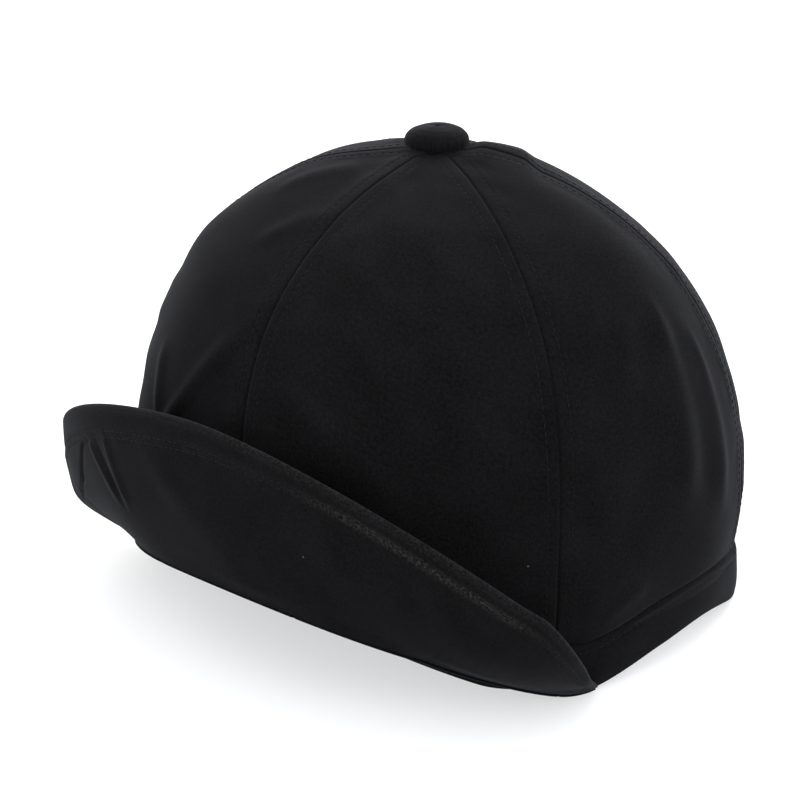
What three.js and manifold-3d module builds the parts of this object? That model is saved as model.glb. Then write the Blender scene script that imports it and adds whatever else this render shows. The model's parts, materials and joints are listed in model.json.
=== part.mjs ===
// A soft six-panel bump cap with its brim turned up, as an assembly of separate pieces.
// Millimetres, +Z up. The cap stands on the lower edge of its band, and its front faces -Y.
import * as THREE from "three";
import { mergeVertices } from "three/addons/utils/BufferGeometryUtils.js";
import Module from "manifold-3d";

const wasm = await Module();
wasm.setup();

const DEGREE = Math.PI / 180;

// The whole cap, measured from the crown's axis on the resting plane.
const HALF_WIDTH = 94.5;
const FRONT_REACH = 100;
const BACK_REACH = 90;
const CROWN_TOP = 150.4;
const WIDEST_Z = 39;
const APEX_LEAN = 6.9;
const CENTRE_SHIFT = 10.1;

// Upright profile of the crown: how square its shoulder is at the front, the back and the sides.
const RISE_POWER = { front: 3.2, back: 1.8, side: 3.1 };
const REACH_POWER = { front: 1.6, back: 2.1, side: 1.9 };
const TUCK = { front: 0.04, back: 0.01, side: 0.04 };
const TUCK_BOTTOM_Z = 18;
const OUTLINE_POWER = 2.29;
const ROUNDING_RATE = 1.6;

// Panels and seams.
const SEAM_TWIST = 3 * DEGREE;
const SIDE_SEAM = 62.4 * DEGREE;
const REAR_SEAM = Math.PI - SIDE_SEAM;
const PANEL_PUFF = 2;
const PUFF_FADE = 25;
const CLOTH = 1.2;
const GAP = 0.4;
const TOP_HOLE_RADIUS = 6;
const TAPE_WIDTH = 12;

// Band, sweatband and the lower edge, which arches up over the brow and a little at each side.
const BAND_HEIGHT = 16.5;
const BRIM_END = 73.5 * DEGREE;
const BROW_ARCH = 31;
const BROW_ARCH_POWER = 1.3;
const SIDE_ARCH = 7;
const SIDE_ARCH_CENTRE = 104 * DEGREE;
const SIDE_ARCH_SPREAD = 30 * DEGREE;
const SWEATBAND_LOW = 3;
const SWEATBAND_HIGH = 30;
const SWEATBAND_END = 149 * DEGREE;
const BROW_PAD_TURN = 45 * DEGREE;

// Rear opening and its strap.
const OPENING_HALF_WIDTH = 40;
const OPENING_STRAIGHT = 20;
const OPENING_TOP = 45;
const BINDING_WIDTH = 7;
const STRAP_LOW = 4.5;
const STRAP_HIGH = 23.5;
const STRAP_DEPTHS = [-4.2, -3];
const SLIDE_TURN = 165 * DEGREE;
const SLIDE_SIZE = { width: 12, height: 24, thick: 1.8, slotWidth: 3.2, slotHeight: 20, slotAt: 2.6 };

// Brim, as it stands turned up.
const BRIM_STAND_OFF = 4.8;
const BRIM_LIFT = 1.5;
const BRIM_TOP = new THREE.Vector3(0, -111, 85);
const BRIM_CORNER = new THREE.Vector3(99, -77, 45);
const BRIM_SIDE = new THREE.Vector3(111, -64, 18);
const BRIM_END_WIDTH = new THREE.Vector3(7.5, 0, 6);
const BRIM_CORNER_AT = 0.6;
const BRIM_BULGE = 5;
const BRIM_BULGE_SHARE = 0.12;
const BRIM_SECTIONS = 5;
const BRIM_END_MARGIN = 1;
const BRIM_SECTION_GAP = 1.8;
const BOARD_MARGIN = 6;

// Bump shell and its pads, as depths below the crown's outer face.
const SHELL_OUTER = -4.7;
const SHELL_INNER = -6.9;
const SHELL_RIM_Z = 52;
const SHELL_RIM_RISE = 20;
const PAD_OUTER = -7.8;
const PAD_INNER = -13;

const cap = new THREE.Group();
cap.position.y = CENTRE_SHIFT;

function material(color, roughness, metalness = 0) {
  return new THREE.MeshStandardMaterial({ color, roughness, metalness });
}

const BLACK_TWILL = material(0x17171a, 0.9);
const TAPE_CLOTH = material(0x222226, 0.9);
const TERRY = material(0x2a2a2d, 1);
const BOARD = material(0x3a3d42, 0.6);
const SHELL_PLASTIC = material(0x2f4f86, 0.45);
const FOAM = material(0x4a4d52, 1);
const HOOK_TAPE = material(0x1c1c1f, 1);
const BLACK_PLASTIC = material(0x111113, 0.4);
const ZINC = material(0xb4b6ba, 0.35, 1);

function addPiece(name, geometry, look) {
  const mesh = new THREE.Mesh(geometry, look);
  mesh.name = name;
  cap.add(mesh);
}

const mix = (a, b, share) => a + (b - a) * share;
const clamp01 = (value) => Math.min(1, Math.max(0, value));
const smooth = (value) => clamp01(value) ** 2 * (3 - 2 * clamp01(value));
const signedPower = (value, power) => Math.sign(value) * Math.abs(value) ** power;

// A shape number for one direction, mixed from its front, back and side values.
function byDirection(values, turn) {
  const facing = Math.cos(turn);
  const end = facing > 0 ? values.front : values.back;
  return mix(values.side, end, facing * facing);
}

// Height of the band's lower edge above the resting plane.
function edgeHeight(turn) {
  const away = Math.abs(Math.atan2(Math.sin(turn), Math.cos(turn)));
  const browShare = clamp01(away / BRIM_END);
  const brow = BROW_ARCH * Math.max(0, Math.cos((Math.PI / 2) * browShare)) ** BROW_ARCH_POWER;
  const offset = Math.abs(away - SIDE_ARCH_CENTRE) / SIDE_ARCH_SPREAD;
  const side = offset < 1 ? SIDE_ARCH * Math.cos((Math.PI / 2) * offset) ** 2 : 0;
  return brow + side;
}

const crownEdge = (turn) => edgeHeight(turn) + BAND_HEIGHT + GAP;

const SEAMS = [0, SIDE_SEAM, REAR_SEAM, Math.PI, -REAR_SEAM, -SIDE_SEAM].map((turn) => turn + SEAM_TWIST);

// How far through its panel a direction lies, from 0 at one seam to 1 at the next.
function panelShare(turn) {
  const fullTurn = 2 * Math.PI;
  for (let index = 0; index < SEAMS.length; index += 1) {
    const start = SEAMS[index];
    const width = (SEAMS[(index + 1) % SEAMS.length] - start + fullTurn) % fullTurn;
    const along = (((turn - start) % fullTurn) + fullTurn) % fullTurn;
    if (along < width) return along / width;
  }
  return 0;
}

// Profile position: -1 at the resting plane, 0 at the widest height, 1 at the top.
function profileAt(turn, z) {
  if (z < WIDEST_Z) return z / WIDEST_Z - 1;
  const height = clamp01((z - WIDEST_Z) / (CROWN_TOP - WIDEST_Z));
  const power = byDirection(RISE_POWER, turn) / 2;
  return (Math.asin(height ** power) / (Math.PI / 2)) ** (1 / power);
}

// The profile position, near the top, whose reach is this share of the widest.
function profileOfReach(turn, reach) {
  const angle = Math.acos(reach ** (byDirection(REACH_POWER, turn) / 2));
  return (angle / (Math.PI / 2)) ** (2 / byDirection(RISE_POWER, turn));
}

function crownPoint(turn, profile) {
  const rise = byDirection(RISE_POWER, turn) / 2;
  const angle = Math.max(0, profile) ** rise * (Math.PI / 2);
  const height = profile <= 0 ? 0 : Math.sin(angle) ** (1 / rise);
  const z = profile <= 0 ? WIDEST_Z * (1 + profile) : mix(WIDEST_Z, CROWN_TOP, height);
  const tuck = clamp01((WIDEST_Z - z) / (WIDEST_Z - TUCK_BOTTOM_Z)) ** 2;
  const reach = profile <= 0
    ? 1 - byDirection(TUCK, turn) * tuck
    : Math.max(0, Math.cos(angle)) ** (2 / byDirection(REACH_POWER, turn));
  const power = 2 / mix(OUTLINE_POWER, 2, clamp01(height * ROUNDING_RATE));
  const facing = Math.cos(turn);
  const long = facing > 0 ? FRONT_REACH : BACK_REACH;
  const fade = smooth((z - crownEdge(turn)) / PUFF_FADE) * Math.sqrt(reach);
  const puff = PANEL_PUFF * (Math.sin(Math.PI * panelShare(turn)) ** 2 - 0.5) * fade;
  const x = HALF_WIDTH * signedPower(Math.sin(turn), power) * reach + puff * Math.sin(turn);
  const y = -long * signedPower(facing, power) * reach - puff * facing;
  return new THREE.Vector3(x, y - APEX_LEAN * height ** 1.5, z);
}

// The unit normal of surface(u, v), found from close neighbours.
function normalOf(surface, u, v) {
  const step = 1e-3;
  const across = surface(u + step, v).sub(surface(u - step, v));
  const along = surface(u, v + step).sub(surface(u, v - step));
  return across.cross(along).normalize();
}

function pointOn(surface, u, v, depth) {
  return surface(u, v).addScaledVector(normalOf(surface, u, v), depth);
}

function bareGeometry(geometry) {
  geometry.deleteAttribute("normal");
  geometry.deleteAttribute("uv");
  return geometry;
}

// One closed sheet: the patch of a surface between two u and two v values, between two depths.
function sheet(surface, [u0, u1, uSteps], [v0, v1, vSteps], [inner, outer]) {
  const geometry = bareGeometry(new THREE.BoxGeometry(1, 1, 1, uSteps, vSteps, 1));
  const position = geometry.attributes.position;
  for (let index = 0; index < position.count; index += 1) {
    const u = mix(u0, u1, position.getX(index) + 0.5);
    const v = mix(v0, v1, position.getY(index) + 0.5);
    const depth = mix(inner, outer, position.getZ(index) + 0.5);
    const point = pointOn(surface, u, v, depth);
    position.setXYZ(index, point.x, point.y, point.z);
  }
  return mergeVertices(geometry, 1e-4);
}

// One closed dome around the apex, down to rim(turn) on the profile, between two depths.
function dome(rim, turnSteps, riseSteps, [inner, outer]) {
  const path = [];
  for (let step = 0; step <= riseSteps; step += 1) path.push(new THREE.Vector2(step / riseSteps, inner));
  for (let step = riseSteps; step >= 0; step -= 1) path.push(new THREE.Vector2(step / riseSteps, outer));
  const geometry = bareGeometry(new THREE.LatheGeometry(path, turnSteps));
  const position = geometry.attributes.position;
  for (let index = 0; index < position.count; index += 1) {
    const x = position.getX(index);
    const z = position.getZ(index);
    const depth = position.getY(index);
    const share = Math.hypot(x, z);
    const turn = Math.atan2(x, z);
    const apex = new THREE.Vector3(0, -APEX_LEAN, CROWN_TOP + depth);
    const profile = mix(1, rim(turn), share);
    const point = share < 1e-6 ? apex : pointOn(crownPoint, turn, Math.min(profile, 0.999), depth);
    position.setXYZ(index, point.x, point.y, point.z);
  }
  return mergeVertices(geometry, 1e-4);
}

function toSolid(geometry) {
  const merged = mergeVertices(geometry, 1e-4);
  const vertProperties = new Float32Array(merged.attributes.position.array);
  const triVerts = new Uint32Array(merged.index.array);
  return new wasm.Manifold(new wasm.Mesh({ numProp: 3, vertProperties, triVerts }));
}

function toGeometry(solid) {
  const { vertProperties, triVerts } = solid.getMesh();
  const geometry = new THREE.BufferGeometry();
  geometry.setAttribute("position", new THREE.BufferAttribute(new Float32Array(vertProperties), 3));
  geometry.setIndex(new THREE.BufferAttribute(new Uint32Array(triVerts), 1));
  return geometry;
}

function boxSolid(width, height, depth, x) {
  const geometry = bareGeometry(new THREE.BoxGeometry(width, height, depth));
  geometry.translate(x, 0, 0);
  return toSolid(geometry);
}

// A flat outline in X and Z, made into a prism that crosses the back of the cap.
function rearPrism(halfWidth, top) {
  const outline = new THREE.Shape();
  const spring = OPENING_STRAIGHT;
  outline.moveTo(-halfWidth, -5);
  outline.lineTo(halfWidth, -5);
  outline.lineTo(halfWidth, spring);
  outline.ellipse(-halfWidth, 0, halfWidth, top - spring, 0, Math.PI, false, 0);
  outline.lineTo(-halfWidth, -5);
  const settings = { depth: BACK_REACH, bevelEnabled: false, curveSegments: 20 };
  const geometry = new THREE.ExtrudeGeometry(outline, settings);
  geometry.rotateX(Math.PI / 2);
  geometry.translate(0, 1.4 * BACK_REACH, 0);
  return toSolid(bareGeometry(geometry));
}

const openingPrism = rearPrism(OPENING_HALF_WIDTH, OPENING_TOP);
const bindingPrism = rearPrism(OPENING_HALF_WIDTH + BINDING_WIDTH, OPENING_TOP + BINDING_WIDTH);

const PANEL_NAMES = ["front_right", "side_right", "rear_right", "rear_left", "side_left", "front_left"];

// One panel of the crown, short of each seam by half a gap and open round the button's stud.
function panelSurface(index) {
  const start = SEAMS[index];
  const width = (SEAMS[(index + 1) % SEAMS.length] - start + 2 * Math.PI) % (2 * Math.PI);
  return (share, rise) => {
    const middle = start + width / 2;
    const low = profileAt(middle, crownEdge(middle));
    const near = crownPoint(start + share * width, mix(low, 1, rise));
    const radius = Math.hypot(near.x, near.y + APEX_LEAN * clamp01(rise));
    const margin = Math.min(0.2, GAP / 2 / Math.max(1, radius));
    const turn = mix(start + margin, start + width - margin, share);
    const edge = profileAt(turn, crownEdge(turn));
    return crownPoint(turn, mix(edge, profileOfReach(turn, TOP_HOLE_RADIUS / HALF_WIDTH), rise));
  };
}

function addCrown() {
  PANEL_NAMES.forEach((side, index) => {
    let panel = sheet(panelSurface(index), [0, 1, 7], [0, 1, 12], [-CLOTH, 0]);
    if (side.startsWith("rear")) panel = toGeometry(toSolid(panel).subtract(openingPrism));
    addPiece(`crown_panel_${side}`, panel, BLACK_TWILL);
  });
}

function addSeamTapes() {
  const names = ["front", "right_front", "right_rear", "rear", "left_rear", "left_front"];
  const depths = [-CLOTH - 1.6, -CLOTH - 1.1];
  SEAMS.forEach((seam, index) => {
    const bottom = Math.max(edgeHeight(seam) + SWEATBAND_HIGH + 4, OPENING_TOP + 11);
    const surface = (across, rise) => {
      const profile = mix(profileAt(seam, bottom), profileOfReach(seam, 0.18), rise);
      const middle = crownPoint(seam, profile);
      const radius = Math.hypot(middle.x, middle.y + APEX_LEAN * rise);
      return crownPoint(seam + across / radius, profile);
    };
    const half = TAPE_WIDTH / 2;
    addPiece(`seam_tape_${names[index]}`, sheet(surface, [-half, half, 1], [0, 1, 12], depths), TAPE_CLOTH);
  });
}

// A strip that follows the lower edge, between two heights above it.
function edgeStrip(from, to, steps, low, high, depths) {
  const surface = (turn, rise) => {
    const z = edgeHeight(turn) + mix(low, high, rise);
    return crownPoint(turn, profileAt(turn, z));
  };
  return sheet(surface, [from, to, steps], [0, 1, 2], depths);
}

function addBand() {
  const margin = GAP / 2 / HALF_WIDTH;
  const depths = [-CLOTH, 0];
  const end = BRIM_END - margin;
  addPiece("band_front", edgeStrip(-end, end, 18, 0, BAND_HEIGHT, depths), BLACK_TWILL);
  for (const [name, side] of [["right", 1], ["left", -1]]) {
    const ends = [side * (BRIM_END + margin), side * 166 * DEGREE].sort((a, b) => a - b);
    const strip = edgeStrip(ends[0], ends[1], 14, 0, BAND_HEIGHT, depths);
    addPiece(`band_${name}`, toGeometry(toSolid(strip).subtract(openingPrism)), BLACK_TWILL);
  }
}

function addSweatband() {
  const depths = [-CLOTH - 2.3, -CLOTH - 1];
  const strip = edgeStrip(-SWEATBAND_END, SWEATBAND_END, 40, SWEATBAND_LOW, SWEATBAND_HIGH, depths);
  addPiece("sweatband", strip, TERRY);
  const padDepths = [-CLOTH - 5.8, -CLOTH - 2.9];
  const pad = edgeStrip(-BROW_PAD_TURN, BROW_PAD_TURN, 12, SWEATBAND_LOW + 3, SWEATBAND_HIGH - 3, padDepths);
  addPiece("brow_pad", pad, FOAM);
}

function addButton() {
  const lathe = (points, steps) => {
    const geometry = new THREE.LatheGeometry(points.map(([r, z]) => new THREE.Vector2(r, z)), steps);
    bareGeometry(geometry);
    geometry.rotateX(Math.PI / 2);
    geometry.translate(0, -APEX_LEAN, CROWN_TOP);
    return mergeVertices(geometry, 1e-4);
  };
  const cover = [[3, 0.4], [9, 0.4], [9.8, 1.4], [9.9, 2.6], [9.2, 4.2], [7, 5.3], [3.5, 5.9], [0, 6],
    [0, 5.2], [3.4, 5.1], [6.7, 4.5], [8.5, 3.5], [9.1, 2.4], [9, 1.7], [8.6, 1.2], [3, 1.2], [3, 0.4]];
  const core = [[0, 2.2], [2.2, 2.2], [2.2, 1.5], [8.3, 1.5], [8.7, 2.3], [8.1, 3.2], [6.5, 4.2], [3.3, 4.8],
    [0, 4.9]];
  const stud = [[0, -4.1], [6.2, -4.1], [6.2, -3.3], [1.6, -3.1], [1.6, 1.9], [0, 1.9]];
  addPiece("button_cover", lathe(cover, 28), BLACK_TWILL);
  addPiece("button_core", lathe(core, 24), ZINC);
  addPiece("button_stud", lathe(stud, 16), ZINC);
}

// The brim's free edge: a curve over the brow to each corner, then round the side to the band.
function brimEdge(turn) {
  const side = Math.sign(turn) || 1;
  const share = Math.abs(turn) / BRIM_END;
  const point = new THREE.Vector3();
  if (share <= BRIM_CORNER_AT) {
    const along = share / BRIM_CORNER_AT;
    point.set(
      BRIM_CORNER.x * Math.sin((along * Math.PI) / 2.6) / Math.sin(Math.PI / 2.6),
      mix(BRIM_TOP.y, BRIM_CORNER.y, along ** 2.2),
      mix(BRIM_TOP.z, BRIM_CORNER.z, along ** 1.8),
    );
  } else {
    const along = (share - BRIM_CORNER_AT) / (1 - BRIM_CORNER_AT);
    const end = brimFold(BRIM_END).add(BRIM_END_WIDTH);
    const middle = BRIM_CORNER.clone().lerp(end, 0.5);
    const control = BRIM_SIDE.clone().multiplyScalar(2).sub(middle);
    point.copy(BRIM_CORNER).multiplyScalar((1 - along) ** 2);
    point.addScaledVector(control, 2 * along * (1 - along)).addScaledVector(end, along ** 2);
  }
  point.x *= side;
  return point;
}

// The line where the brim turns up from the band.
function brimFold(turn) {
  const z = edgeHeight(turn);
  const point = pointOn((u, v) => crownPoint(u, profileAt(u, v)), turn, Math.max(z, 1), BRIM_STAND_OFF);
  point.z = z + BRIM_LIFT;
  return point;
}

function brimPoint(turn, rise) {
  const fold = brimFold(turn);
  const edge = brimEdge(turn);
  const outward = new THREE.Vector3(Math.sin(turn), -Math.cos(turn), 0);
  const bulge = Math.min(BRIM_BULGE, BRIM_BULGE_SHARE * fold.distanceTo(edge));
  const control = fold.clone().lerp(edge, 0.5).addScaledVector(outward, bulge);
  const point = fold.multiplyScalar((1 - rise) ** 2);
  return point.addScaledVector(control, 2 * rise * (1 - rise)).addScaledVector(edge, rise ** 2);
}

const BRIM_LAYERS = [
  { name: "brim_lower_cloth", depths: [-0.8, 0], margin: 0, look: BLACK_TWILL },
  { name: "brim_board", depths: [-2.4, -1.7], margin: BOARD_MARGIN, look: BOARD },
  { name: "brim_upper_cloth", depths: [-3.9, -3.1], margin: 0, look: BLACK_TWILL },
];

// The same piece on the other side of the cap's middle plane.
function mirrored(geometry) {
  const copy = geometry.clone().scale(-1, 1, 1);
  const corners = copy.index.array;
  for (let start = 0; start < corners.length; start += 3) {
    [corners[start + 1], corners[start + 2]] = [corners[start + 2], corners[start + 1]];
  }
  return copy;
}

// The brim folds along its curved fold line, so it is built in sections that turn in step.
function addBrim() {
  const width = (2 * BRIM_END) / BRIM_SECTIONS;
  for (const layer of BRIM_LAYERS) {
    ["left_wing", "left", "centre"].forEach((name, index) => {
      const start = -BRIM_END + index * width;
      const surface = (share, rise) => {
        const length = brimPoint(start, rise).distanceTo(brimPoint(start + width, rise));
        const inner = BRIM_SECTION_GAP / 2 / length;
        const outer = index === 0 ? (BRIM_END_MARGIN + layer.margin) / length : inner;
        const turn = start + width * mix(outer, 1 - inner, share);
        const low = layer.margin / brimFold(turn).distanceTo(brimEdge(turn));
        return brimPoint(turn, mix(low, 1 - low, rise));
      };
      const section = sheet(surface, [0, 1, 5], [0, 1, 4], layer.depths);
      addPiece(`${layer.name}_${name}`, section, layer.look);
      if (name === "centre") return;
      addPiece(`${layer.name}_${name.replace("left", "right")}`, mirrored(section), layer.look);
    });
  }
}

function shellRim(turn) {
  return profileAt(turn, SHELL_RIM_Z + SHELL_RIM_RISE * Math.cos(turn / 2) ** 4);
}

// A block that cuts one vent, standing square to the crown at one place.
function ventCutter(turn, profile, width, length) {
  const outward = normalOf(crownPoint, turn, profile);
  const upward = crownPoint(turn, profile + 1e-3).sub(crownPoint(turn, profile - 1e-3)).normalize();
  const across = upward.clone().cross(outward);
  const shape = new THREE.Shape();
  const straight = (length - width) / 2;
  shape.absarc(0, straight, width / 2, 0, Math.PI, false);
  shape.absarc(0, -straight, width / 2, Math.PI, 2 * Math.PI, false);
  const geometry = new THREE.ExtrudeGeometry(shape, { depth: 16, bevelEnabled: false, curveSegments: 3 });
  const frame = new THREE.Matrix4().makeBasis(across, upward, outward);
  frame.setPosition(crownPoint(turn, profile).addScaledVector(outward, -14));
  geometry.applyMatrix4(frame);
  return toSolid(bareGeometry(geometry));
}

function addBumpShell() {
  let shell = toSolid(dome(shellRim, 36, 8, [SHELL_INNER, SHELL_OUTER]));
  const rows = [
    { count: 8, profile: 0.52, width: 7, length: 24, start: 22.5 },
    { count: 8, profile: 0.24, width: 8, length: 20, start: 22.5 },
  ];
  for (const row of rows) {
    for (let index = 0; index < row.count; index += 1) {
      const turn = (row.start + (360 * index) / row.count) * DEGREE;
      shell = shell.subtract(ventCutter(turn, row.profile, row.width, row.length));
    }
  }
  addPiece("bump_shell", toGeometry(shell), SHELL_PLASTIC);
}

function addPads() {
  const depths = [PAD_INNER, PAD_OUTER];
  const places = { front: 0, right: 90, rear: 180, left: -90 };
  for (const [name, centre] of Object.entries(places)) {
    const half = 15 * DEGREE;
    const turn = centre * DEGREE;
    const pad = sheet(crownPoint, [turn - half, turn + half, 4], [0.2, 0.46, 4], depths);
    addPiece(`pad_${name}`, pad, FOAM);
  }
  addPiece("pad_crown", dome((turn) => profileOfReach(turn, 0.4), 18, 4, depths), FOAM);
}

function addInsertFasteners() {
  const places = { front_right: 34, rear_right: 143, rear_left: -143, front_left: -34 };
  for (const [name, centre] of Object.entries(places)) {
    const half = 6 * DEGREE;
    const span = [centre * DEGREE - half, centre * DEGREE + half, 2];
    const rise = [0.24, 0.33, 2];
    addPiece(`insert_loop_patch_${name}`, sheet(crownPoint, span, rise, [-3, -2.2]), HOOK_TAPE);
    addPiece(`insert_hook_patch_${name}`, sheet(crownPoint, span, rise, [-4.2, -3.4]), HOOK_TAPE);
  }
}

function addRearStrap() {
  const depths = [-CLOTH - 1.2, -CLOTH - GAP];
  const blank = toSolid(sheet(crownPoint, [148 * DEGREE, 212 * DEGREE, 12], [-0.98, 0.16, 6], depths));
  const binding = blank.intersect(bindingPrism).subtract(openingPrism);
  addPiece("opening_binding", toGeometry(binding), TAPE_CLOTH);
  const level = (turn, z) => crownPoint(turn, profileAt(turn, z));
  const wide = (from, to, steps, depths, low = STRAP_LOW, high = STRAP_HIGH) =>
    sheet(level, [from * DEGREE, to * DEGREE, steps], [low, high, 2], depths);
  addPiece("strap", wide(166.5, 210, 10, STRAP_DEPTHS), BLACK_TWILL);
  addPiece("strap_loop_patch", wide(171, 196, 6, [-2.6, -1.8], STRAP_LOW + 1, STRAP_HIGH - 1), HOOK_TAPE);
  addPiece("strap_tail", wide(170, 196, 7, [0.2, 1.4]), BLACK_TWILL);
  addPiece("strap_hook_patch", wide(172, 195, 6, [-1.2, -0.2], STRAP_LOW + 1, STRAP_HIGH - 1), HOOK_TAPE);
  addPiece("slide_tab", wide(150, 163.5, 4, STRAP_DEPTHS), BLACK_TWILL);
  addSlide(level);
}

// The flat two-bar slide that the strap's tail folds back through.
function addSlide(level) {
  const { width, height, thick, slotWidth, slotHeight, slotAt } = SLIDE_SIZE;
  const middleZ = (STRAP_LOW + STRAP_HIGH) / 2;
  const outward = normalOf(level, SLIDE_TURN, middleZ);
  const upward = new THREE.Vector3(0, 0, 1);
  const across = upward.clone().cross(outward).normalize();
  let slide = boxSolid(width, height, thick, 0);
  for (const middle of [-slotAt, slotAt]) {
    slide = slide.subtract(boxSolid(slotWidth, slotHeight, 2 * thick, middle));
  }
  const geometry = toGeometry(slide);
  const frame = new THREE.Matrix4().makeBasis(across, outward.clone().cross(across), outward);
  frame.setPosition(level(SLIDE_TURN, middleZ).addScaledVector(outward, -CLOTH));
  geometry.applyMatrix4(frame);
  addPiece("strap_slide", geometry, BLACK_PLASTIC);
}

addCrown();
addSeamTapes();
addBand();
addSweatband();
addButton();
addBrim();
addBumpShell();
addPads();
addInsertFasteners();
addRearStrap();

export default cap;
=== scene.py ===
"""Looks for a soft six-panel bump cap with its brim turned up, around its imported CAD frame.

Shape functions work in millimetres from the foot of the crown's axis, as the cap's design does.
A turn is an angle round that axis, from 0 at the front towards +X. Objects are in metres.
"""

import json
import math

import bpy
import numpy as np
from mathutils import Matrix, Vector


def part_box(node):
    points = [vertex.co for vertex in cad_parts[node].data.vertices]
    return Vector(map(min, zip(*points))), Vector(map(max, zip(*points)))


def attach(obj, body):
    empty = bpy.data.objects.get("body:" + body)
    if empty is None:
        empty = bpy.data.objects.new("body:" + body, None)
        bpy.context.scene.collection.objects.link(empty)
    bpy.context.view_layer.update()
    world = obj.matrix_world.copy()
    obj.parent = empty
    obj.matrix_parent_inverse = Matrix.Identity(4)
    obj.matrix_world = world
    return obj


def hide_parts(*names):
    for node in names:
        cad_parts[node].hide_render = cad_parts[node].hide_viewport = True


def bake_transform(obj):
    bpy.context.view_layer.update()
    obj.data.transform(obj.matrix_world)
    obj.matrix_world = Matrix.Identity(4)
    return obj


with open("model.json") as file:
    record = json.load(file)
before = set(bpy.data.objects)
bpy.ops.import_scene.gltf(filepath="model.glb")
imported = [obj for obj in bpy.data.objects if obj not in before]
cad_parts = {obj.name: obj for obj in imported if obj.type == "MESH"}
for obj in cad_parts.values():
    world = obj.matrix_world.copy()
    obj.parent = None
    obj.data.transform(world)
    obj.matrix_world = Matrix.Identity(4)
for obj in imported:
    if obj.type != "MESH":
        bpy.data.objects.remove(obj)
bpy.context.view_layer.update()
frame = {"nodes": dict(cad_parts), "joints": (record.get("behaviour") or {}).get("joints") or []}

MM = 0.001
DEGREE = math.pi / 180

# The crown's shape, with the same numbers as the cap's design.
HALF_WIDTH = 94.5
FRONT_REACH = 100.0
BACK_REACH = 90.0
CROWN_TOP = 150.4
WIDEST_Z = 39.0
APEX_LEAN = 6.9
RISE_POWER = {"front": 3.2, "back": 1.8, "side": 3.1}
REACH_POWER = {"front": 1.6, "back": 2.1, "side": 1.9}
TUCK = {"front": 0.04, "back": 0.01, "side": 0.04}
TUCK_BOTTOM_Z = 18.0
OUTLINE_POWER = 2.29
ROUNDING_RATE = 1.6
SEAM_TWIST = 3 * DEGREE
SIDE_SEAM = 62.4 * DEGREE
REAR_SEAM = math.pi - SIDE_SEAM
PANEL_PUFF = 2.0
PUFF_FADE = 25.0
PANEL_DEPTHS = (-1.15, 0)

# Band, rear opening and strap.
BAND_HEIGHT = 16.5
BAND_GAP = 0.4
BAND_SWELL = 0.7
BAND_PUFF = 0.55
BRIM_END = 73.5 * DEGREE
BROW_ARCH = 31.0
BROW_ARCH_POWER = 1.3
SIDE_ARCH = 8.2
SIDE_ARCH_CENTRE = 100 * DEGREE
SIDE_ARCH_SPREAD = 33 * DEGREE
SWEATBAND_LOW = 3.0
SWEATBAND_HIGH = 30.0
SWEATBAND_END = 149 * DEGREE
SWEATBAND_DEPTHS = (-3.3, -2.3)
SWEATBAND_PUFF = 0.7
SWEATBAND_PUCKER = 0.25
SWEATBAND_ROW = 3.0
SWEATBAND_THREAD_DEPTH = 3.35
BROW_PAD_TURN = 45 * DEGREE
BROW_PAD_MARGIN = 3.0
BROW_PAD_DEPTHS = (-5.6, -4.3)
BROW_PAD_FULLNESS = 1.6
TAPE_HALF_WIDTH = 6.0
TAPE_DEPTHS = (-2.8, -2.3)
TAPE_MARGIN = 1.6
TAPE_THREAD_DEPTH = 2.85
OPENING_HALF_WIDTH = 40.0
OPENING_STRAIGHT = 20.0
OPENING_TOP = 45.0
BINDING_WIDTH = 7.0
BINDING_DEPTHS = (-2.3, -1.5)
STRAP_LOW = 4.5
STRAP_HIGH = 23.5
STRAP_THICK = 1.1
STRAP_ROWS = [2.2, 3.8]
# Paths of the strap, its tail and the slide's tab, as (turn in degrees, depth).
STRAP_PATH = [(209.5, -3.6), (190, -3.6), (172, -3.6), (167.6, -3.8), (166.7, -2.4), (166.7, -0.4),
              (167.2, 0.7), (167.9, 0.85)]
TAIL_PATH = [(168, 0.85), (168.6, 0.85), (169.3, 0.8), (170, 0.8), (180, 0.8), (190, 0.85), (196, 0.8)]
TAB_PATH = [(150.5, -3.6), (158, -3.6), (162.6, -3.8), (163.4, -2.4), (163.4, -0.6), (162.8, 0.5),
            (161.6, 0.3), (160.8, -1.4), (158, -2.2), (156.2, -2.3)]

# Covered button's cloth, as (distance from its axis, height above the crown).
BUTTON_OUTLINE = [(5.5, 0.35), (8.8, 0.35), (9.9, 1.0), (10.3, 2.3), (9.9, 4.1), (8.5, 5.6), (6.1, 6.6),
                  (3.0, 7.1), (0.4, 7.2), (0.4, 6.1), (3.4, 5.9), (6.9, 5.1), (8.8, 3.9), (9.3, 2.5),
                  (9.1, 1.7), (8.6, 1.3), (5.5, 1.3)]

# Brim. Its free edge runs over the brow to a corner, then through the side places to its tip.
BRIM_STAND_OFF = 4.8
BRIM_LIFT = 1.5
BRIM_TOP = np.array([0, -111, 85.0])
BRIM_CORNER = np.array([99, -77, 45.0])
BRIM_CORNER_AT = 44.1
BRIM_SIDE_PLACES = [(47.5, (105, -75, 43)), (54, (107, -68, 34.5)), (60, (106, -60, 25.7)),
                    (67, (102, -49, 14.4))]
BRIM_BULGE = 5.0
BRIM_BULGE_SHARE = 0.12
BRIM_LEFT_FULLNESS = 12.5
BRIM_LEFT_FULLEST = -46 * DEGREE
BRIM_LOW_CORNER = 4.0
BRIM_LEFT_LIFT = 1.6
BRIM_SECTIONS = ["left_wing", "left", "centre", "right", "right_wing"]
SECTION_COLUMNS = [96, 96, 100, 96, 96]
BRIM_TIP = 74.8 * DEGREE
TIP_STAND_OFF = 1.4
BRIM_THICK = 3.3
BRIM_EDGE_THICK = 2.2
BRIM_TIP_THICK = 1.5
BRIM_CLOTH = 0.95
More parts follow.
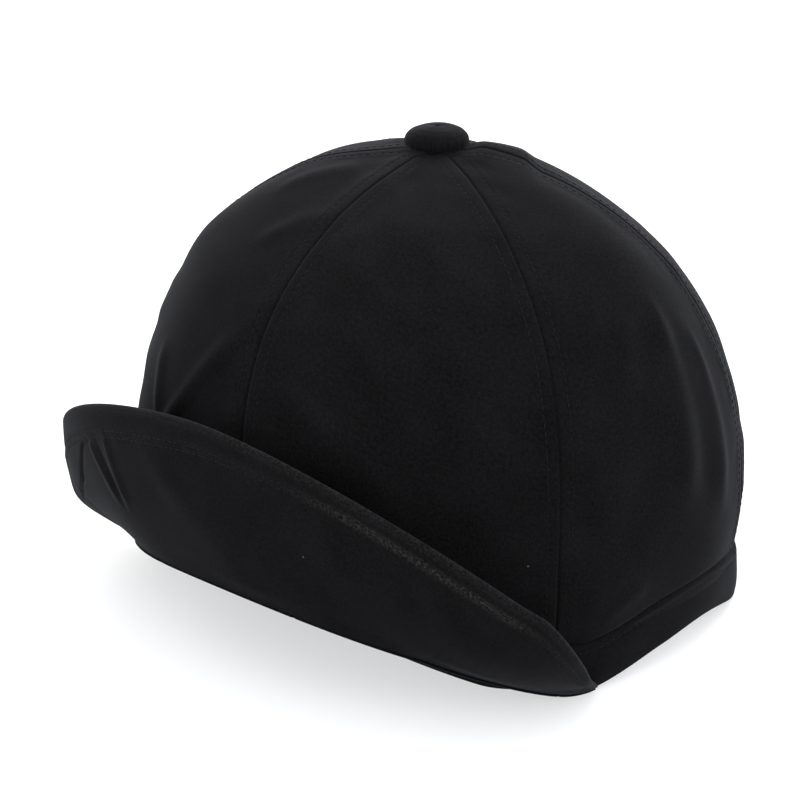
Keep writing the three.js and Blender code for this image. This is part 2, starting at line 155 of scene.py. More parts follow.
ROUNDED_EDGE = 1.7
EDGE_STEPS = 8
ROOT_HALF = 0.55
ROOT_BEND = (-3.0, 0.0)
HEM_ROWS = [7.2, 9.4]
ROOT_TIP = 66 * DEGREE
LINING_END = 66 * DEGREE
LINING_FADE = 16 * DEGREE
LINING_DROP = 3.4
LINING_DEPTHS = (-2.1, -1.2)

# Insert, as depths below the crown's outer face.
SHELL_OUTER = -4.7
SHELL_INNER = -6.9
SHELL_RIM_Z = 52.0
SHELL_RIM_RISE = 20.0
PAD_OUTER = -7.8
PAD_INNER = -11.4
PAD_FULLNESS = 1.9
CROWN_PAD_INNER = -12.2
CROWN_PAD_FULLNESS = 0.9
CROWN_PAD_REACH = 0.4
PAD_TURNS = {"front": 0, "right": 90, "rear": 180, "left": -90}
PAD_HALF_TURN = 15
PAD_PROFILES = (0.2, 0.46)
PAD_CORNER = 7.0
LOOP_DEPTHS = (-3.0, -2.2)
HOOK_DEPTHS = (-4.2, -3.4)
PATCH_TURNS = {"front_right": 34, "rear_right": 143, "rear_left": -143, "front_left": -34}
PATCH_HALF_TURN = 6
PATCH_PROFILES = (0.24, 0.33)
# Rows of vents in the shell: (profile position, width, length).
VENT_ROWS = [(0.52, 7.0, 24.0), (0.24, 8.0, 20.0)]
VENTS_IN_ROW = 8
VENT_CUT_DEPTHS = (-14.0, 2.0)

# Stuffing of pads, how far a point of each may move, and how full each is.
STUFFING = {"quality": 6, "mass": 0.3, "tension_stiffness": 30, "compression_stiffness": 30,
            "bending_stiffness": 0.5, "use_pressure": True, "uniform_pressure_force": 4.0,
            "shrink_min": -0.03}
STUFFING_FRAMES = 20
BROW_PAD_SWELL = 0.4
BROW_PAD_VOXEL = 1.0
PAD_SWELL = 0.8
PAD_VOXEL = 1.3

# Sewing.
SEAM_MARGIN = 4.2
BAND_MARGIN = 3.0
STITCH_LENGTH = 1.9
STITCH_GAP = 0.6
STITCH_RADIUS = 0.17
STITCH_RINGS = 7
STITCH_SIDES = 6

# Relief across a line of sewing or an edge, as (height, width).
SEAM_GROOVE = (-0.34, 0.42)
SEAM_DIP = (-0.14, 0.7)
CROWN_HEM = (-0.35, 0.8)
CROWN_TUCK = (-0.5, 2.5)
BAND_DIP = (-0.15, 0.7)
BAND_CLOSING = (-0.7, 0.45)
HEM_DIP = (-0.18, 0.6)
HEM_RIDGE = (0.1, 0.8)
STRAP_DIP = (-0.14, 0.5)
TAPE_RIDGE = (0.2, 1.2)
SWEATBAND_DIP = (-0.4, 0.8)
ALLOWANCE_RISE = 0.16
ALLOWANCE_WIDTH = 7.6

# Wear on the brim, as (amount, width), and the turns between which its hem is worn most.
HEM_WEAR = [(0.75, 2.0), (0.6, 1.8)]
EDGE_WEAR = (0.3, 1.2)
LEAST_WEAR = 0.12
WEAR_STARTS = 10 * DEGREE
WEAR_FADES = 42 * DEGREE

rng = np.random.default_rng(7)

button_low, button_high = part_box("button_cover")
AXIS_FOOT = np.array([0, (button_low.y + button_high.y) / 2 + APEX_LEAN * MM, 0])


# ---------------------------------------------------------------- shape of the cap

def mix(a, b, share):
    return a + (b - a) * share


def clamp01(value):
    return np.clip(value, 0, 1)


def smooth(value):
    value = clamp01(value)
    return value * value * (3 - 2 * value)


def bump(distance, width):
    """A bell that is 1 at no distance."""
    return np.exp(-((distance / width) ** 2))


def ridge(distance, shape):
    """A ridge of this (height, width) along a line. It is a groove where the height is negative."""
    height, width = shape
    return height * bump(distance, width)


def signed_power(value, power):
    return np.sign(value) * np.abs(value) ** power


def by_direction(values, turn):
    facing = np.cos(turn)
    end = np.where(facing > 0, values["front"], values["back"])
    return mix(values["side"], end, facing**2)


def edge_height(turn):
    """Height of the band's lower edge."""
    away = np.abs(np.arctan2(np.sin(turn), np.cos(turn)))
    brow = BROW_ARCH * np.maximum(0, np.cos(np.pi / 2 * clamp01(away / BRIM_END))) ** BROW_ARCH_POWER
    offset = np.abs(away - SIDE_ARCH_CENTRE) / SIDE_ARCH_SPREAD
    return brow + SIDE_ARCH * np.cos(np.pi / 2 * clamp01(offset)) ** 2


def crown_edge(turn):
    return edge_height(turn) + BAND_HEIGHT + BAND_GAP


FULL_TURN = 2 * math.pi
SEAMS = np.array([0, SIDE_SEAM, REAR_SEAM, math.pi, -REAR_SEAM, -SIDE_SEAM]) + SEAM_TWIST
PANEL_STARTS = (SEAMS - SEAMS[0]) % FULL_TURN
PANEL_WIDTHS = np.diff(np.append(PANEL_STARTS, FULL_TURN))


def panel_share(turn):
    """How far through its panel a direction lies, from 0 at one seam to 1 at the next."""
    along = (turn - SEAMS[0]) % FULL_TURN
    panel = np.clip(np.searchsorted(PANEL_STARTS, along, side="right") - 1, 0, 5)
    return (along - PANEL_STARTS[panel]) / PANEL_WIDTHS[panel]


def profile_at(turn, z):
    """Profile position of a height: -1 at the floor, 0 at the widest height, 1 at the top."""
    height = clamp01((z - WIDEST_Z) / (CROWN_TOP - WIDEST_Z))
    power = by_direction(RISE_POWER, turn) / 2
    upper = (np.arcsin(height**power) / (np.pi / 2)) ** (1 / power)
    return np.where(z < WIDEST_Z, z / WIDEST_Z - 1, upper)


def profile_of_reach(turn, reach):
    """Profile position, near the top, whose reach is this share of the widest."""
    angle = np.arccos(reach ** (by_direction(REACH_POWER, turn) / 2))
    return (angle / (np.pi / 2)) ** (2 / by_direction(RISE_POWER, turn))


def crown_point(turn, profile):
    rise = by_direction(RISE_POWER, turn) / 2
    above = np.maximum(0, profile)
    angle = above**rise * (np.pi / 2)
    height = np.sin(angle) ** (1 / rise)
    z = np.where(profile <= 0, WIDEST_Z * (1 + profile), mix(WIDEST_Z, CROWN_TOP, height))
    tuck = clamp01((WIDEST_Z - z) / (WIDEST_Z - TUCK_BOTTOM_Z)) ** 2
    lower_reach = 1 - by_direction(TUCK, turn) * tuck
    upper_reach = np.maximum(0, np.cos(angle)) ** (2 / by_direction(REACH_POWER, turn))
    reach = np.where(profile <= 0, lower_reach, upper_reach)
    power = 2 / mix(OUTLINE_POWER, 2, clamp01(height * ROUNDING_RATE))
    facing = np.cos(turn)
    long = np.where(facing > 0, FRONT_REACH, BACK_REACH)
    fade = smooth((z - crown_edge(turn)) / PUFF_FADE) * np.sqrt(reach)
    puff = PANEL_PUFF * (np.sin(np.pi * panel_share(turn)) ** 2 - 0.5) * fade
    x = HALF_WIDTH * signed_power(np.sin(turn), power) * reach + puff * np.sin(turn)
    y = -long * signed_power(facing, power) * reach - puff * facing
    return np.stack([x, y - APEX_LEAN * height**1.5, z], -1)


def level_point(turn, z):
    return crown_point(turn, profile_at(turn, z))


def normal_of(surface, u, v):
    """The unit normal of surface(u, v), found from close neighbours."""
    step = 1e-3
    across = surface(u + step, v) - surface(u - step, v)
    along = surface(u, v + step) - surface(u, v - step)
    normal = np.cross(across, along)
    return normal / np.linalg.norm(normal, axis=-1, keepdims=True)


def brim_fold(turn):
    """The line where the brim turns up from the band. It comes close to the band at its tips."""
    z = edge_height(turn)
    height = np.maximum(z, 1)
    stand_off = mix(BRIM_STAND_OFF, TIP_STAND_OFF, smooth((np.abs(turn) / DEGREE - 62) / 12))
    point = level_point(turn, height) + normal_of(level_point, turn, height) * stand_off[..., None]
    lift = BRIM_LEFT_LIFT * bump(turn + 35 * DEGREE, 12 * DEGREE)
    point[..., 2] = z + BRIM_LIFT * stand_off / BRIM_STAND_OFF + lift
    return point


def edge_table():
    """The brim's free edge on the right: over the brow, round the corner and in to the tip."""
    along = np.linspace(0, 1, 90)
    over = np.stack([
        BRIM_CORNER[0] * np.sin(along * np.pi / 2.6) / np.sin(np.pi / 2.6),
        mix(BRIM_TOP[1], BRIM_CORNER[1], along**2.2),
        mix(BRIM_TOP[2], BRIM_CORNER[2], along**1.8),
    ], -1)
    tip = brim_fold(np.array([BRIM_TIP]))[0] + [0.5, 0, 0.4]
    side = np.array([point for _, point in BRIM_SIDE_PLACES])
    turns = np.concatenate([along * BRIM_CORNER_AT, [turn for turn, _ in BRIM_SIDE_PLACES],
                            [BRIM_TIP / DEGREE]])
    points = np.concatenate([over, side, [tip]])
    even = np.arange(-10, BRIM_TIP / DEGREE, 0.25)
    mirrored = np.where(even < 0, -1, 1)
    line = np.stack([np.interp(np.abs(even), turns, points[:, k]) for k in range(3)], -1)
    line[:, 0] *= mirrored
    kernel = np.exp(-((np.arange(-14, 15) * 0.25 / 2.0) ** 2))
    kernel /= kernel.sum()
    padded = np.concatenate([line, 2 * tip - line[:-15:-1]])
    smoothed = np.stack([np.convolve(padded[:, k], kernel, "same") for k in range(3)], -1)
    kept = even >= 0
    return even[kept] * DEGREE, smoothed[:len(line)][kept]


EDGE_TURNS, EDGE_POINTS = edge_table()


def brim_edge(turn):
    away = np.abs(turn)
    point = np.stack([np.interp(away, EDGE_TURNS, EDGE_POINTS[:, k]) for k in range(3)], -1)
    point[..., 0] *= np.where(turn < 0, -1.0, 1.0)
    return point


def brim_point(turn, rise):
    fold = brim_fold(turn)
    edge = brim_edge(turn)
    outward = np.stack([np.sin(turn), -np.cos(turn), 0 * turn], -1)
    length = np.linalg.norm(edge - fold, axis=-1, keepdims=True)
    fullness = BRIM_LEFT_FULLNESS * bump(turn - BRIM_LEFT_FULLEST, 12 * DEGREE)
    bulge = np.minimum(BRIM_BULGE, BRIM_BULGE_SHARE * length) + fullness[..., None]
    control = (fold + edge) / 2 + outward * bulge
    low_corner = BRIM_LOW_CORNER * bump(turn + 51 * DEGREE, 9 * DEGREE) * bump(rise - 0.35, 0.22)
    rise = rise[..., None]
    curve = fold * (1 - rise) ** 2 + control * 2 * rise * (1 - rise) + edge * rise**2
    return curve + outward * (low_corner * clamp01(rise[..., 0] * 8))[..., None]


# ---------------------------------------------------------------- mesh building

def unit(vectors):
    return vectors / np.linalg.norm(vectors, axis=-1, keepdims=True)


def points_at(at, run, points):
    """Points on a line, at these lengths along it."""
    return np.stack([np.interp(at, run, points[:, k]) for k in range(3)], -1)


def edge_closing(nearest, radius, share):
    """How far each face draws in near a sheet's edge, so that the edge is round."""
    return share * radius * (1 - np.sqrt(1 - (1 - clamp01(nearest / radius)) ** 2))


def add_to_scene(name, data):
    item = bpy.data.objects.new(name, data)
    bpy.context.scene.collection.objects.link(item)
    return item


def set_attribute(mesh, name, kind, field, values):
    """Gives each point of a mesh a value. An older attribute of this name goes."""
    if name in mesh.attributes:
        mesh.attributes.remove(mesh.attributes[name])
    attribute = mesh.attributes.new(name, kind, "POINT")
    attribute.data.foreach_set(field, values.astype(np.float32).ravel())


def steps_along(points, axis):
    """Length run along a grid's lines, from 0 at each line's start."""
    pieces = np.linalg.norm(np.diff(points, axis=axis), axis=-1)
    start = np.zeros_like(np.take(pieces, [0], axis=axis))
    return np.concatenate([start, np.cumsum(pieces, axis=axis)], axis=axis)


def grid_normals(points):
    return unit(np.cross(np.gradient(points, axis=0), np.gradient(points, axis=1)))


def shares(count, length):
    """Shares from 0 to 1 for a line that long in millimetres, with fine steps at both ends."""
    fine = np.array([0, 0.25, 0.6]) / length
    middle = np.linspace(fine[-1], 1 - fine[-1], count)
    return np.concatenate([fine[:-1], middle, 1 - fine[-2::-1]])


def grid_quads(index):
    return np.stack([index[:-1, :-1], index[1:, :-1], index[1:, 1:], index[:-1, 1:]], -1).reshape(-1, 4)


def closed_quads(columns, rows):
    """Quads of an outer grid, an inner grid behind it, and the rim between them."""
    count = columns * rows
    index = np.arange(count).reshape(columns, rows)
    rim = np.concatenate([index[:, 0], index[-1, 1:], index[-2::-1, -1], index[0, -2:0:-1]])
    ahead = np.roll(rim, -1)
    side = np.stack([ahead, rim, rim + count, ahead + count], -1)
    return np.concatenate([grid_quads(index), grid_quads(index + count)[:, ::-1], side])


def add_object(name, points, faces, look, cloth=None, wear=None, sharp=55):
    """An object from points in millimetres. cloth is where each point lies in its flat cloth."""
    mesh = bpy.data.meshes.new(name)
    placed = points.reshape(-1, 3) * MM + AXIS_FOOT
    placed[:, 2] = np.maximum(placed[:, 2], 0)
    mesh.from_pydata(placed.tolist(), [], faces.tolist() if hasattr(faces, "tolist") else faces)
    mesh.polygons.foreach_set("use_smooth", np.ones(len(mesh.polygons), bool))
    mesh.set_sharp_from_angle(angle=sharp * DEGREE)
    flat = points.reshape(-1, 3) if cloth is None else cloth
    amount = np.zeros(len(mesh.vertices)) if wear is None else wear
    set_attribute(mesh, "cloth", "FLOAT_VECTOR", "vector", flat)
    set_attribute(mesh, "wear", "FLOAT", "value", amount)
    mesh.materials.append(look)
    return add_to_scene(name, mesh)


def finish_piece(piece, body, slot, *nodes):
    """Puts a piece on its body. A piece given no body is left unattached."""
    if body:
        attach(piece, body)
    if nodes:
        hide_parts(*nodes)
    return piece


def cloth_sheet(name, base, depths, look, outer=0, inner=0, rounded="ends and sides", wear=None):
    """A closed sheet round a grid of surface points, between two depths, with rounded edges."""
    low, high = depths
    normals = grid_normals(base)
    across = steps_along(base, 0)
    along = steps_along(base, 1)
    nearest = np.full(base.shape[:2], np.inf)
    if "ends" in rounded:
        nearest = np.minimum(nearest, np.minimum(across, across[-1:] - across))
    if "sides" in rounded:
        nearest = np.minimum(nearest, np.minimum(along, along[:, -1:] - along))
    radius = (high - low) / 2
    closing = edge_closing(nearest, radius, 0.96)
    top = base + normals * (high + outer - closing)[..., None]
    bottom = base + normals * (low + inner + closing)[..., None]
    flat = np.stack([across - across[-1:] / 2, along, 0 * along], -1).reshape(-1, 3)
    points = np.concatenate([top.reshape(-1, 3), bottom.reshape(-1, 3)])
    both = None if wear is None else np.tile(wear.ravel(), 2)
    piece = add_object(name, points, closed_quads(*base.shape[:2]), look, np.tile(flat, (2, 1)), both)
    return piece, top, normals


def stitch_rings(line, normals, length, gap, radius):
    """Rings of points round the stitches along one line. A stitch's ends dip into the cloth."""
    place = np.linspace(0, 1, STITCH_RINGS)
    height = 0.6 * radius * np.sin(np.pi * place) ** 0.6 - 0.9 * radius * np.cos(np.pi * place) ** 4
    girth = radius * np.maximum(0.25, np.sin(np.pi * (0.08 + 0.84 * place))) ** 0.5
    angles = np.arange(STITCH_SIDES) * FULL_TURN / STITCH_SIDES
    run = steps_along(line, 0)
    starts = np.arange(gap / 2, run[-1] - length, length + gap)
    at = (starts[:, None] + place * length).ravel()
    up = unit(points_at(at, run, normals))
    side = unit(np.cross(points_at(at + 0.3, run, line) - points_at(at - 0.3, run, line), up))
    centre = points_at(at, run, line) + up * np.tile(height, len(starts))[:, None]
    ring = side[:, None] * np.cos(angles)[:, None] + up[:, None] * np.sin(angles)[:, None]
    return centre[:, None] + ring * np.tile(girth, len(starts))[:, None, None]


def stitches(name, lines, length=STITCH_LENGTH, gap=STITCH_GAP, radius=STITCH_RADIUS):
    """One mesh of thread stitches along lines of (points, normals)."""
    rings = np.concatenate([stitch_rings(line, normals, length, gap, radius) for line, normals in lines])
    one = np.arange(STITCH_RINGS * STITCH_SIDES).reshape(STITCH_RINGS, STITCH_SIDES)
    turned = np.roll(one, -1, axis=1)
    walls = np.stack([one[:-1], one[1:], turned[1:], turned[:-1]], -1).reshape(-1, 4)
    caps = [list(one[0]), list(one[-1][::-1])]
    faces = []
    for offset in range(0, rings.shape[0] * STITCH_SIDES, one.size):
        faces.extend((walls + offset).tolist())
        faces.extend([[corner + offset for corner in cap] for cap in caps])
    return add_object(name, rings.reshape(-1, 3), faces, THREAD)


def row_line(surface, normals, field, value):
    """A line across a grid's rows, at the place in each row where a rising field has this value."""
    points = []
    ups = []
    for row in range(surface.shape[1]):
        along = field[:, row]
        if along[-1] < value:
            continue
        points.append([np.interp(value, along, surface[:, row, k]) for k in range(3)])
        ups.append([np.interp(value, along, normals[:, row, k]) for k in range(3)])
    return np.array(points), np.array(ups)


# ---------------------------------------------------------------- materials

def new_look(name):
    look = bpy.data.materials.new(name)
    look.use_nodes = True
    tree = look.node_tree
    shader = tree.nodes["Principled BSDF"]
    return look, tree, shader


def add_node(tree, kind, **settings):
    node = tree.nodes.new(kind)
    for key, value in settings.items():
        if key in node.inputs:
            node.inputs[key].default_value = value
        else:
            setattr(node, key, value)
    return node


def scaled_place(tree, scale):
    """Where a point lies in its flat cloth, in millimetres, times a scale."""
    place = add_node(tree, "ShaderNodeAttribute", attribute_name="cloth")
    scaled = add_node(tree, "ShaderNodeVectorMath", operation="SCALE", Scale=scale)
    tree.links.new(place.outputs["Vector"], scaled.inputs[0])
    return scaled.outputs["Vector"]


def noise(tree, scale, detail=2.0):
    node = add_node(tree, "ShaderNodeTexNoise", Scale=1.0, Detail=detail)
    tree.links.new(scaled_place(tree, scale), node.inputs["Vector"])
    return node.outputs["Fac"]


# How many radians a wave texture turns in one unit of its place.
WAVE_RATES = {"DIAGONAL": 10 * math.sqrt(2), "X": 20, "Y": 20}


def waves(tree, period, direction):
    """Bands with this period in millimetres, along X, Y or the diagonal of the cloth."""
    rate = WAVE_RATES[direction]
    node = add_node(tree, "ShaderNodeTexWave", wave_type="BANDS", bands_direction=direction,
                    Scale=1.0, Distortion=0.6, Detail=1.0)
    tree.links.new(scaled_place(tree, FULL_TURN / (rate * period)), node.inputs["Vector"])
    return node.outputs["Fac"]


def combine(tree, operation, first, second):
    node = add_node(tree, "ShaderNodeMath", operation=operation)
    for socket, value in zip(node.inputs, (first, second)):
        if isinstance(value, (int, float)):
            socket.default_value = value
        else:
            tree.links.new(value, socket)
    return node.outputs[0]


def weigh(tree, value, weight):
    return combine(tree, "MULTIPLY", value, weight)


def colour_ramp(tree, factor, stops):
    ramp = add_node(tree, "ShaderNodeValToRGB")
    ramp.color_ramp.elements[0].position = stops[0][0]
    ramp.color_ramp.elements[0].color = (*stops[0][1], 1)
    ramp.color_ramp.elements[1].position = stops[-1][0]
    ramp.color_ramp.elements[1].color = (*stops[-1][1], 1)
    for position, colour in stops[1:-1]:
        ramp.color_ramp.elements.new(position).color = (*colour, 1)
    tree.links.new(factor, ramp.inputs["Fac"])
    return ramp.outputs["Color"]


def mix_colour(tree, factor, first, second):
    node = add_node(tree, "ShaderNodeMix", data_type="RGBA")
    tree.links.new(factor, node.inputs["Factor"])
    tree.links.new(first, node.inputs["A"])
    node.inputs["B"].default_value = (*second, 1)
    return node.outputs["Result"]


def bump_into(tree, shader, height, strength, depth_mm):
    node = add_node(tree, "ShaderNodeBump", Strength=strength, Distance=depth_mm * MM)
    tree.links.new(height, node.inputs["Height"])
    tree.links.new(node.outputs["Normal"], shader.inputs["Normal"])


def paint(tree, shader, colour):
    tree.links.new(colour, shader.inputs["Base Color"])


def set_shader(shader, **values):
    for name, value in values.items():
        shader.inputs[name.replace("_", " ")].default_value = value


TWILL_PITCH = 0.62
TWILL_RELIEF = 0.09
LINT_SPACING_RATE = 0.045
LINT_SIZE = 0.022
LINT_COLOUR = (0.045, 0.045, 0.043)


def twill_look(name, dark, light, worn):
    """Cotton twill: diagonal wales over crossing yarns, uneven dye, lint, and wear where it is set."""
    look, tree, shader = new_look(name)
    wales = waves(tree, TWILL_PITCH, "DIAGONAL")
    yarns = waves(tree, TWILL_PITCH * 0.7, "Y")
    fuzz = noise(tree, 1.8, 3.0)
    weave = combine(tree, "ADD", weigh(tree, yarns, 0.15), weigh(tree, wales, 0.3))
    weave = combine(tree, "ADD", weave, weigh(tree, fuzz, 1.4))
    dye = weigh(tree, noise(tree, 0.05), 0.35)
    grain = weigh(tree, noise(tree, 0.9, 5.0), 0.55)
    tone = combine(tree, "ADD", combine(tree, "ADD", dye, grain), weigh(tree, weave, 0.08))
    colour = colour_ramp(tree, tone, [(0.3, dark), (0.78, light)])
    worn_place = add_node(tree, "ShaderNodeAttribute", attribute_name="wear")
    flecks = weigh(tree, combine(tree, "SUBTRACT", noise(tree, 1.1, 5.0), 0.38), 3.0)
    flecks = combine(tree, "MAXIMUM", flecks, 0.0)
    patchy = combine(tree, "MULTIPLY", worn_place.outputs["Fac"], flecks)
    colour = mix_colour(tree, patchy, colour, worn)
    paint(tree, shader, lint_over(tree, colour))
    set_shader(shader, Roughness=0.95, Specular_IOR_Level=0.045, Sheen_Weight=0.035,
               Sheen_Roughness=0.35, Sheen_Tint=(0.82, 0.86, 1.0, 1))
    bump_into(tree, shader, weave, 0.75, TWILL_RELIEF)
    return look


def lint_over(tree, colour):
    """A few pale specks of lint, far apart."""
    specks = add_node(tree, "ShaderNodeTexVoronoi", feature="F1", Scale=1.0, Randomness=1.0)
    tree.links.new(scaled_place(tree, LINT_SPACING_RATE), specks.inputs["Vector"])
    is_speck = combine(tree, "LESS_THAN", specks.outputs["Distance"], LINT_SIZE)
    return mix_colour(tree, is_speck, colour, LINT_COLOUR)


def plain_weave_look(name, dark, light, period, relief):
    look, tree, shader = new_look(name)
    warp = waves(tree, period, "X")
    weft = waves(tree, period * 1.3, "Y")
    weave = combine(tree, "MAXIMUM", warp, weft)
    tone = combine(tree, "ADD", weigh(tree, noise(tree, 0.3, 3.0), 0.6), weave)
    colour = colour_ramp(tree, tone, [(0.4, dark), (1.0, light)])
    paint(tree, shader, colour)
    set_shader(shader, Roughness=0.88, Sheen_Weight=0.2, Sheen_Roughness=0.5)
    bump_into(tree, shader, weave, 0.6, relief)
    return look


def fuzzy_look(name, dark, light, grain, relief, sheen):
    """Terry, foam skin or hook-and-loop: a fine uneven pile."""
    look, tree, shader = new_look(name)
    pile = noise(tree, grain, 4.0)
    blotch = noise(tree, 0.08, 2.0)
    tone = combine(tree, "ADD", weigh(tree, pile, 0.7), weigh(tree, blotch, 0.4))
    colour = colour_ramp(tree, tone, [(0.3, dark), (0.8, light)])
    paint(tree, shader, colour)
    set_shader(shader, Roughness=0.95, Sheen_Weight=sheen, Sheen_Roughness=0.5)
    bump_into(tree, shader, pile, 0.8, relief)
    return look


def moulded_look(name, dark, light, roughness, metallic=0.0):
    look, tree, shader = new_look(name)
    grain = noise(tree, 1.6, 3.0)
    scuffs = noise(tree, 0.12, 5.0)
    colour = colour_ramp(tree, scuffs, [(0.3, dark), (0.75, light)])
    paint(tree, shader, colour)
    limits = {"To Min": roughness - 0.08, "To Max": roughness + 0.1}
    rough = add_node(tree, "ShaderNodeMapRange", **limits)
    tree.links.new(scuffs, rough.inputs["Value"])
    tree.links.new(rough.outputs["Result"], shader.inputs["Roughness"])
    set_shader(shader, Metallic=metallic)
    bump_into(tree, shader, grain, 0.25, 0.05)
    return look


def thread_look(name, dark, light):
    look, tree, shader = new_look(name)
    colour = colour_ramp(tree, noise(tree, 2.5, 2.0), [(0.3, dark), (0.7, light)])
    paint(tree, shader, colour)
    set_shader(shader, Roughness=0.8, Specular_IOR_Level=0.09, Sheen_Weight=0.045, Sheen_Roughness=0.35)
    return look


TWILL = twill_look("black_twill", (0.0004, 0.0004, 0.0005), (0.0052, 0.0051, 0.0057),
                   worn=(0.022, 0.022, 0.022))
THREAD = thread_look("black_thread", (0.0015, 0.0015, 0.0017), (0.0056, 0.0055, 0.006))
TAPE = plain_weave_look("woven_tape", (0.012, 0.012, 0.014), (0.035, 0.035, 0.038),
                        period=0.7, relief=0.1)
TERRY = fuzzy_look("brushed_terry", (0.012, 0.012, 0.014), (0.045, 0.045, 0.05),
                   grain=1.4, relief=0.35, sheen=0.6)
FOAM = fuzzy_look("closed_cell_foam", (0.05, 0.053, 0.06), (0.1, 0.105, 0.115),
                  grain=2.2, relief=0.12, sheen=0.1)
HOOK = fuzzy_look("hook_and_loop", (0.008, 0.008, 0.009), (0.028, 0.028, 0.03),
                  grain=1.1, relief=0.5, sheen=0.3)
SHELL = moulded_look("moulded_shell", (0.036, 0.09, 0.24), (0.05, 0.12, 0.3), roughness=0.38)
SLIDE = moulded_look("black_moulding", (0.008, 0.008, 0.009), (0.018, 0.018, 0.019), roughness=0.4)
ZINC = moulded_look("zinc_plate", (0.42, 0.43, 0.44), (0.58, 0.59, 0.6), roughness=0.32, metallic=1.0)
BOARD = plain_weave_look("stiffener", (0.03, 0.032, 0.036), (0.06, 0.062, 0.068),
                         period=1.1, relief=0.15)


# ---------------------------------------------------------------- crown

def noise_field(wavelength, waves_used=9):
    """Smooth uneven relief between about -1 and 1, from a few sine waves in fixed directions."""
    directions = unit(rng.normal(size=(waves_used, 3)))
    pitches = wavelength * rng.uniform(0.7, 1.5, waves_used)
    phases = rng.uniform(0, FULL_TURN, waves_used)

    def field(points):
        angles = points @ (directions / pitches[:, None]).T * FULL_TURN + phases
        return np.sin(angles).sum(-1) / math.sqrt(waves_used)
    return field


CROWN_NOISE = noise_field(55)
PUCKER_NOISE = noise_field(8.5, 5)
BAND_NOISE = noise_field(26)
BRIM_NOISE = noise_field(48)
PILE_NOISE = noise_field(2.2)

# Soft folds on the crown: (turn, height) in degrees and millimetres at both ends, width, relief.
CROWN_FOLDS = [
    ((-18, 74), (-5, 104), 3.0, 1.6),
    ((-14, 70), (-1, 100), 6.0, -1.2),
    ((-21.5, 76), (-27, 94), 3.0, 1.1),
    ((-16, 130), (-2, 139), 4.0, 0.6),
    ((-36, 139), (-28, 146), 4.0, 0.6),
    ((14, 106), (44, 78), 9.0, -2.2),
    ((10, 97), (30, 78), 6.0, 1.3),
    ((95, 112), (92, 60), 4.0, 1.1),
    ((100, 104), (98, 56), 4.0, -1.0),
    ((106, 98), (105, 52), 4.0, 1.1),
    ((88, 110), (82, 50), 6.0, -1.0),
    ((76, 25), (84, 32), 3.0, 0.6),
    ((77, 112), (69, 88), 5.0, 0.6),
    ((118, 90), (121, 40), 5.0, 0.7),
    ((-70, 100), (-78, 50), 6.0, 0.9),
    ((-84, 110), (-92, 48), 5.0, -0.8),
    ((-108, 96), (-112, 45), 5.0, 0.8),
    ((150, 118), (158, 70), 6.0, 0.8),
    ((-150, 112), (-161, 66), 6.0, 0.8),
    ((-128, 104), (-136, 60), 7.0, -0.9),
    ((-47, 116), (-46, 145), 19.0, 2.3),
    ((-49, 58), (-48, 80), 14.0, -1.6),
    ((-44, 96), (-46, 108), 12.0, 0.8),
    ((130, 149.6), (132, 146.0), 10.5, 2.5),
    ((130, 88), (131, 118), 15.0, 0.9),
    ((129, 36), (130, 56), 11.0, 0.9),
]
FOLD_CLEARANCE = 0.9
FOLD_OVERRUN = 0.3


def fold_relief(points, folds, surface):
    """Rounded ridges and hollows along straight lines between places on a surface."""
    relief = np.zeros(points.shape[:-1])
    for first, last, width, height in folds:
        a = surface(np.array(first[0] * DEGREE), np.array(float(first[1])))
        b = surface(np.array(last[0] * DEGREE), np.array(float(last[1])))
        line = b - a
        share = np.clip((points - a) @ line / (line @ line), -FOLD_OVERRUN, 1 + FOLD_OVERRUN)
        distance = np.linalg.norm(points - (a + share[..., None] * line), axis=-1)
        fade = smooth((share + FOLD_OVERRUN) / 0.5) * smooth((1 + FOLD_OVERRUN - share) / 0.5)
        relief += height * fade * bump(distance, width * mix(0.8, 1.25, clamp01(share)))
    return relief


def rear_turn(x, z):
    """The turn at the back of the cap whose surface point at this height has this x."""
    low = np.full(np.shape(x), 100 * DEGREE)
    high = np.full(np.shape(x), 260 * DEGREE)
    for _ in range(36):
        middle = (low + high) / 2
        right_of = level_point(middle, z)[..., 0] > x
        low = np.where(right_of, middle, low)
        high = np.where(right_of, high, middle)
    return (low + high) / 2


def opening_height(turn):
    """Height of the rear opening's arch at a turn, or 0 beside the opening."""
    height = np.full(np.shape(turn), OPENING_STRAIGHT)
    for _ in range(12):
        x = level_point(turn, height)[..., 0] / OPENING_HALF_WIDTH
        inside = 1 - np.minimum(1, x * x)
        height = mix(height, OPENING_STRAIGHT + (OPENING_TOP - OPENING_STRAIGHT) * np.sqrt(inside), 0.7)
    behind = np.cos(turn) < 0
    x = np.abs(level_point(turn, np.full(np.shape(turn), OPENING_STRAIGHT))[..., 0])
    return np.where(behind & (x < OPENING_HALF_WIDTH), height, 0)


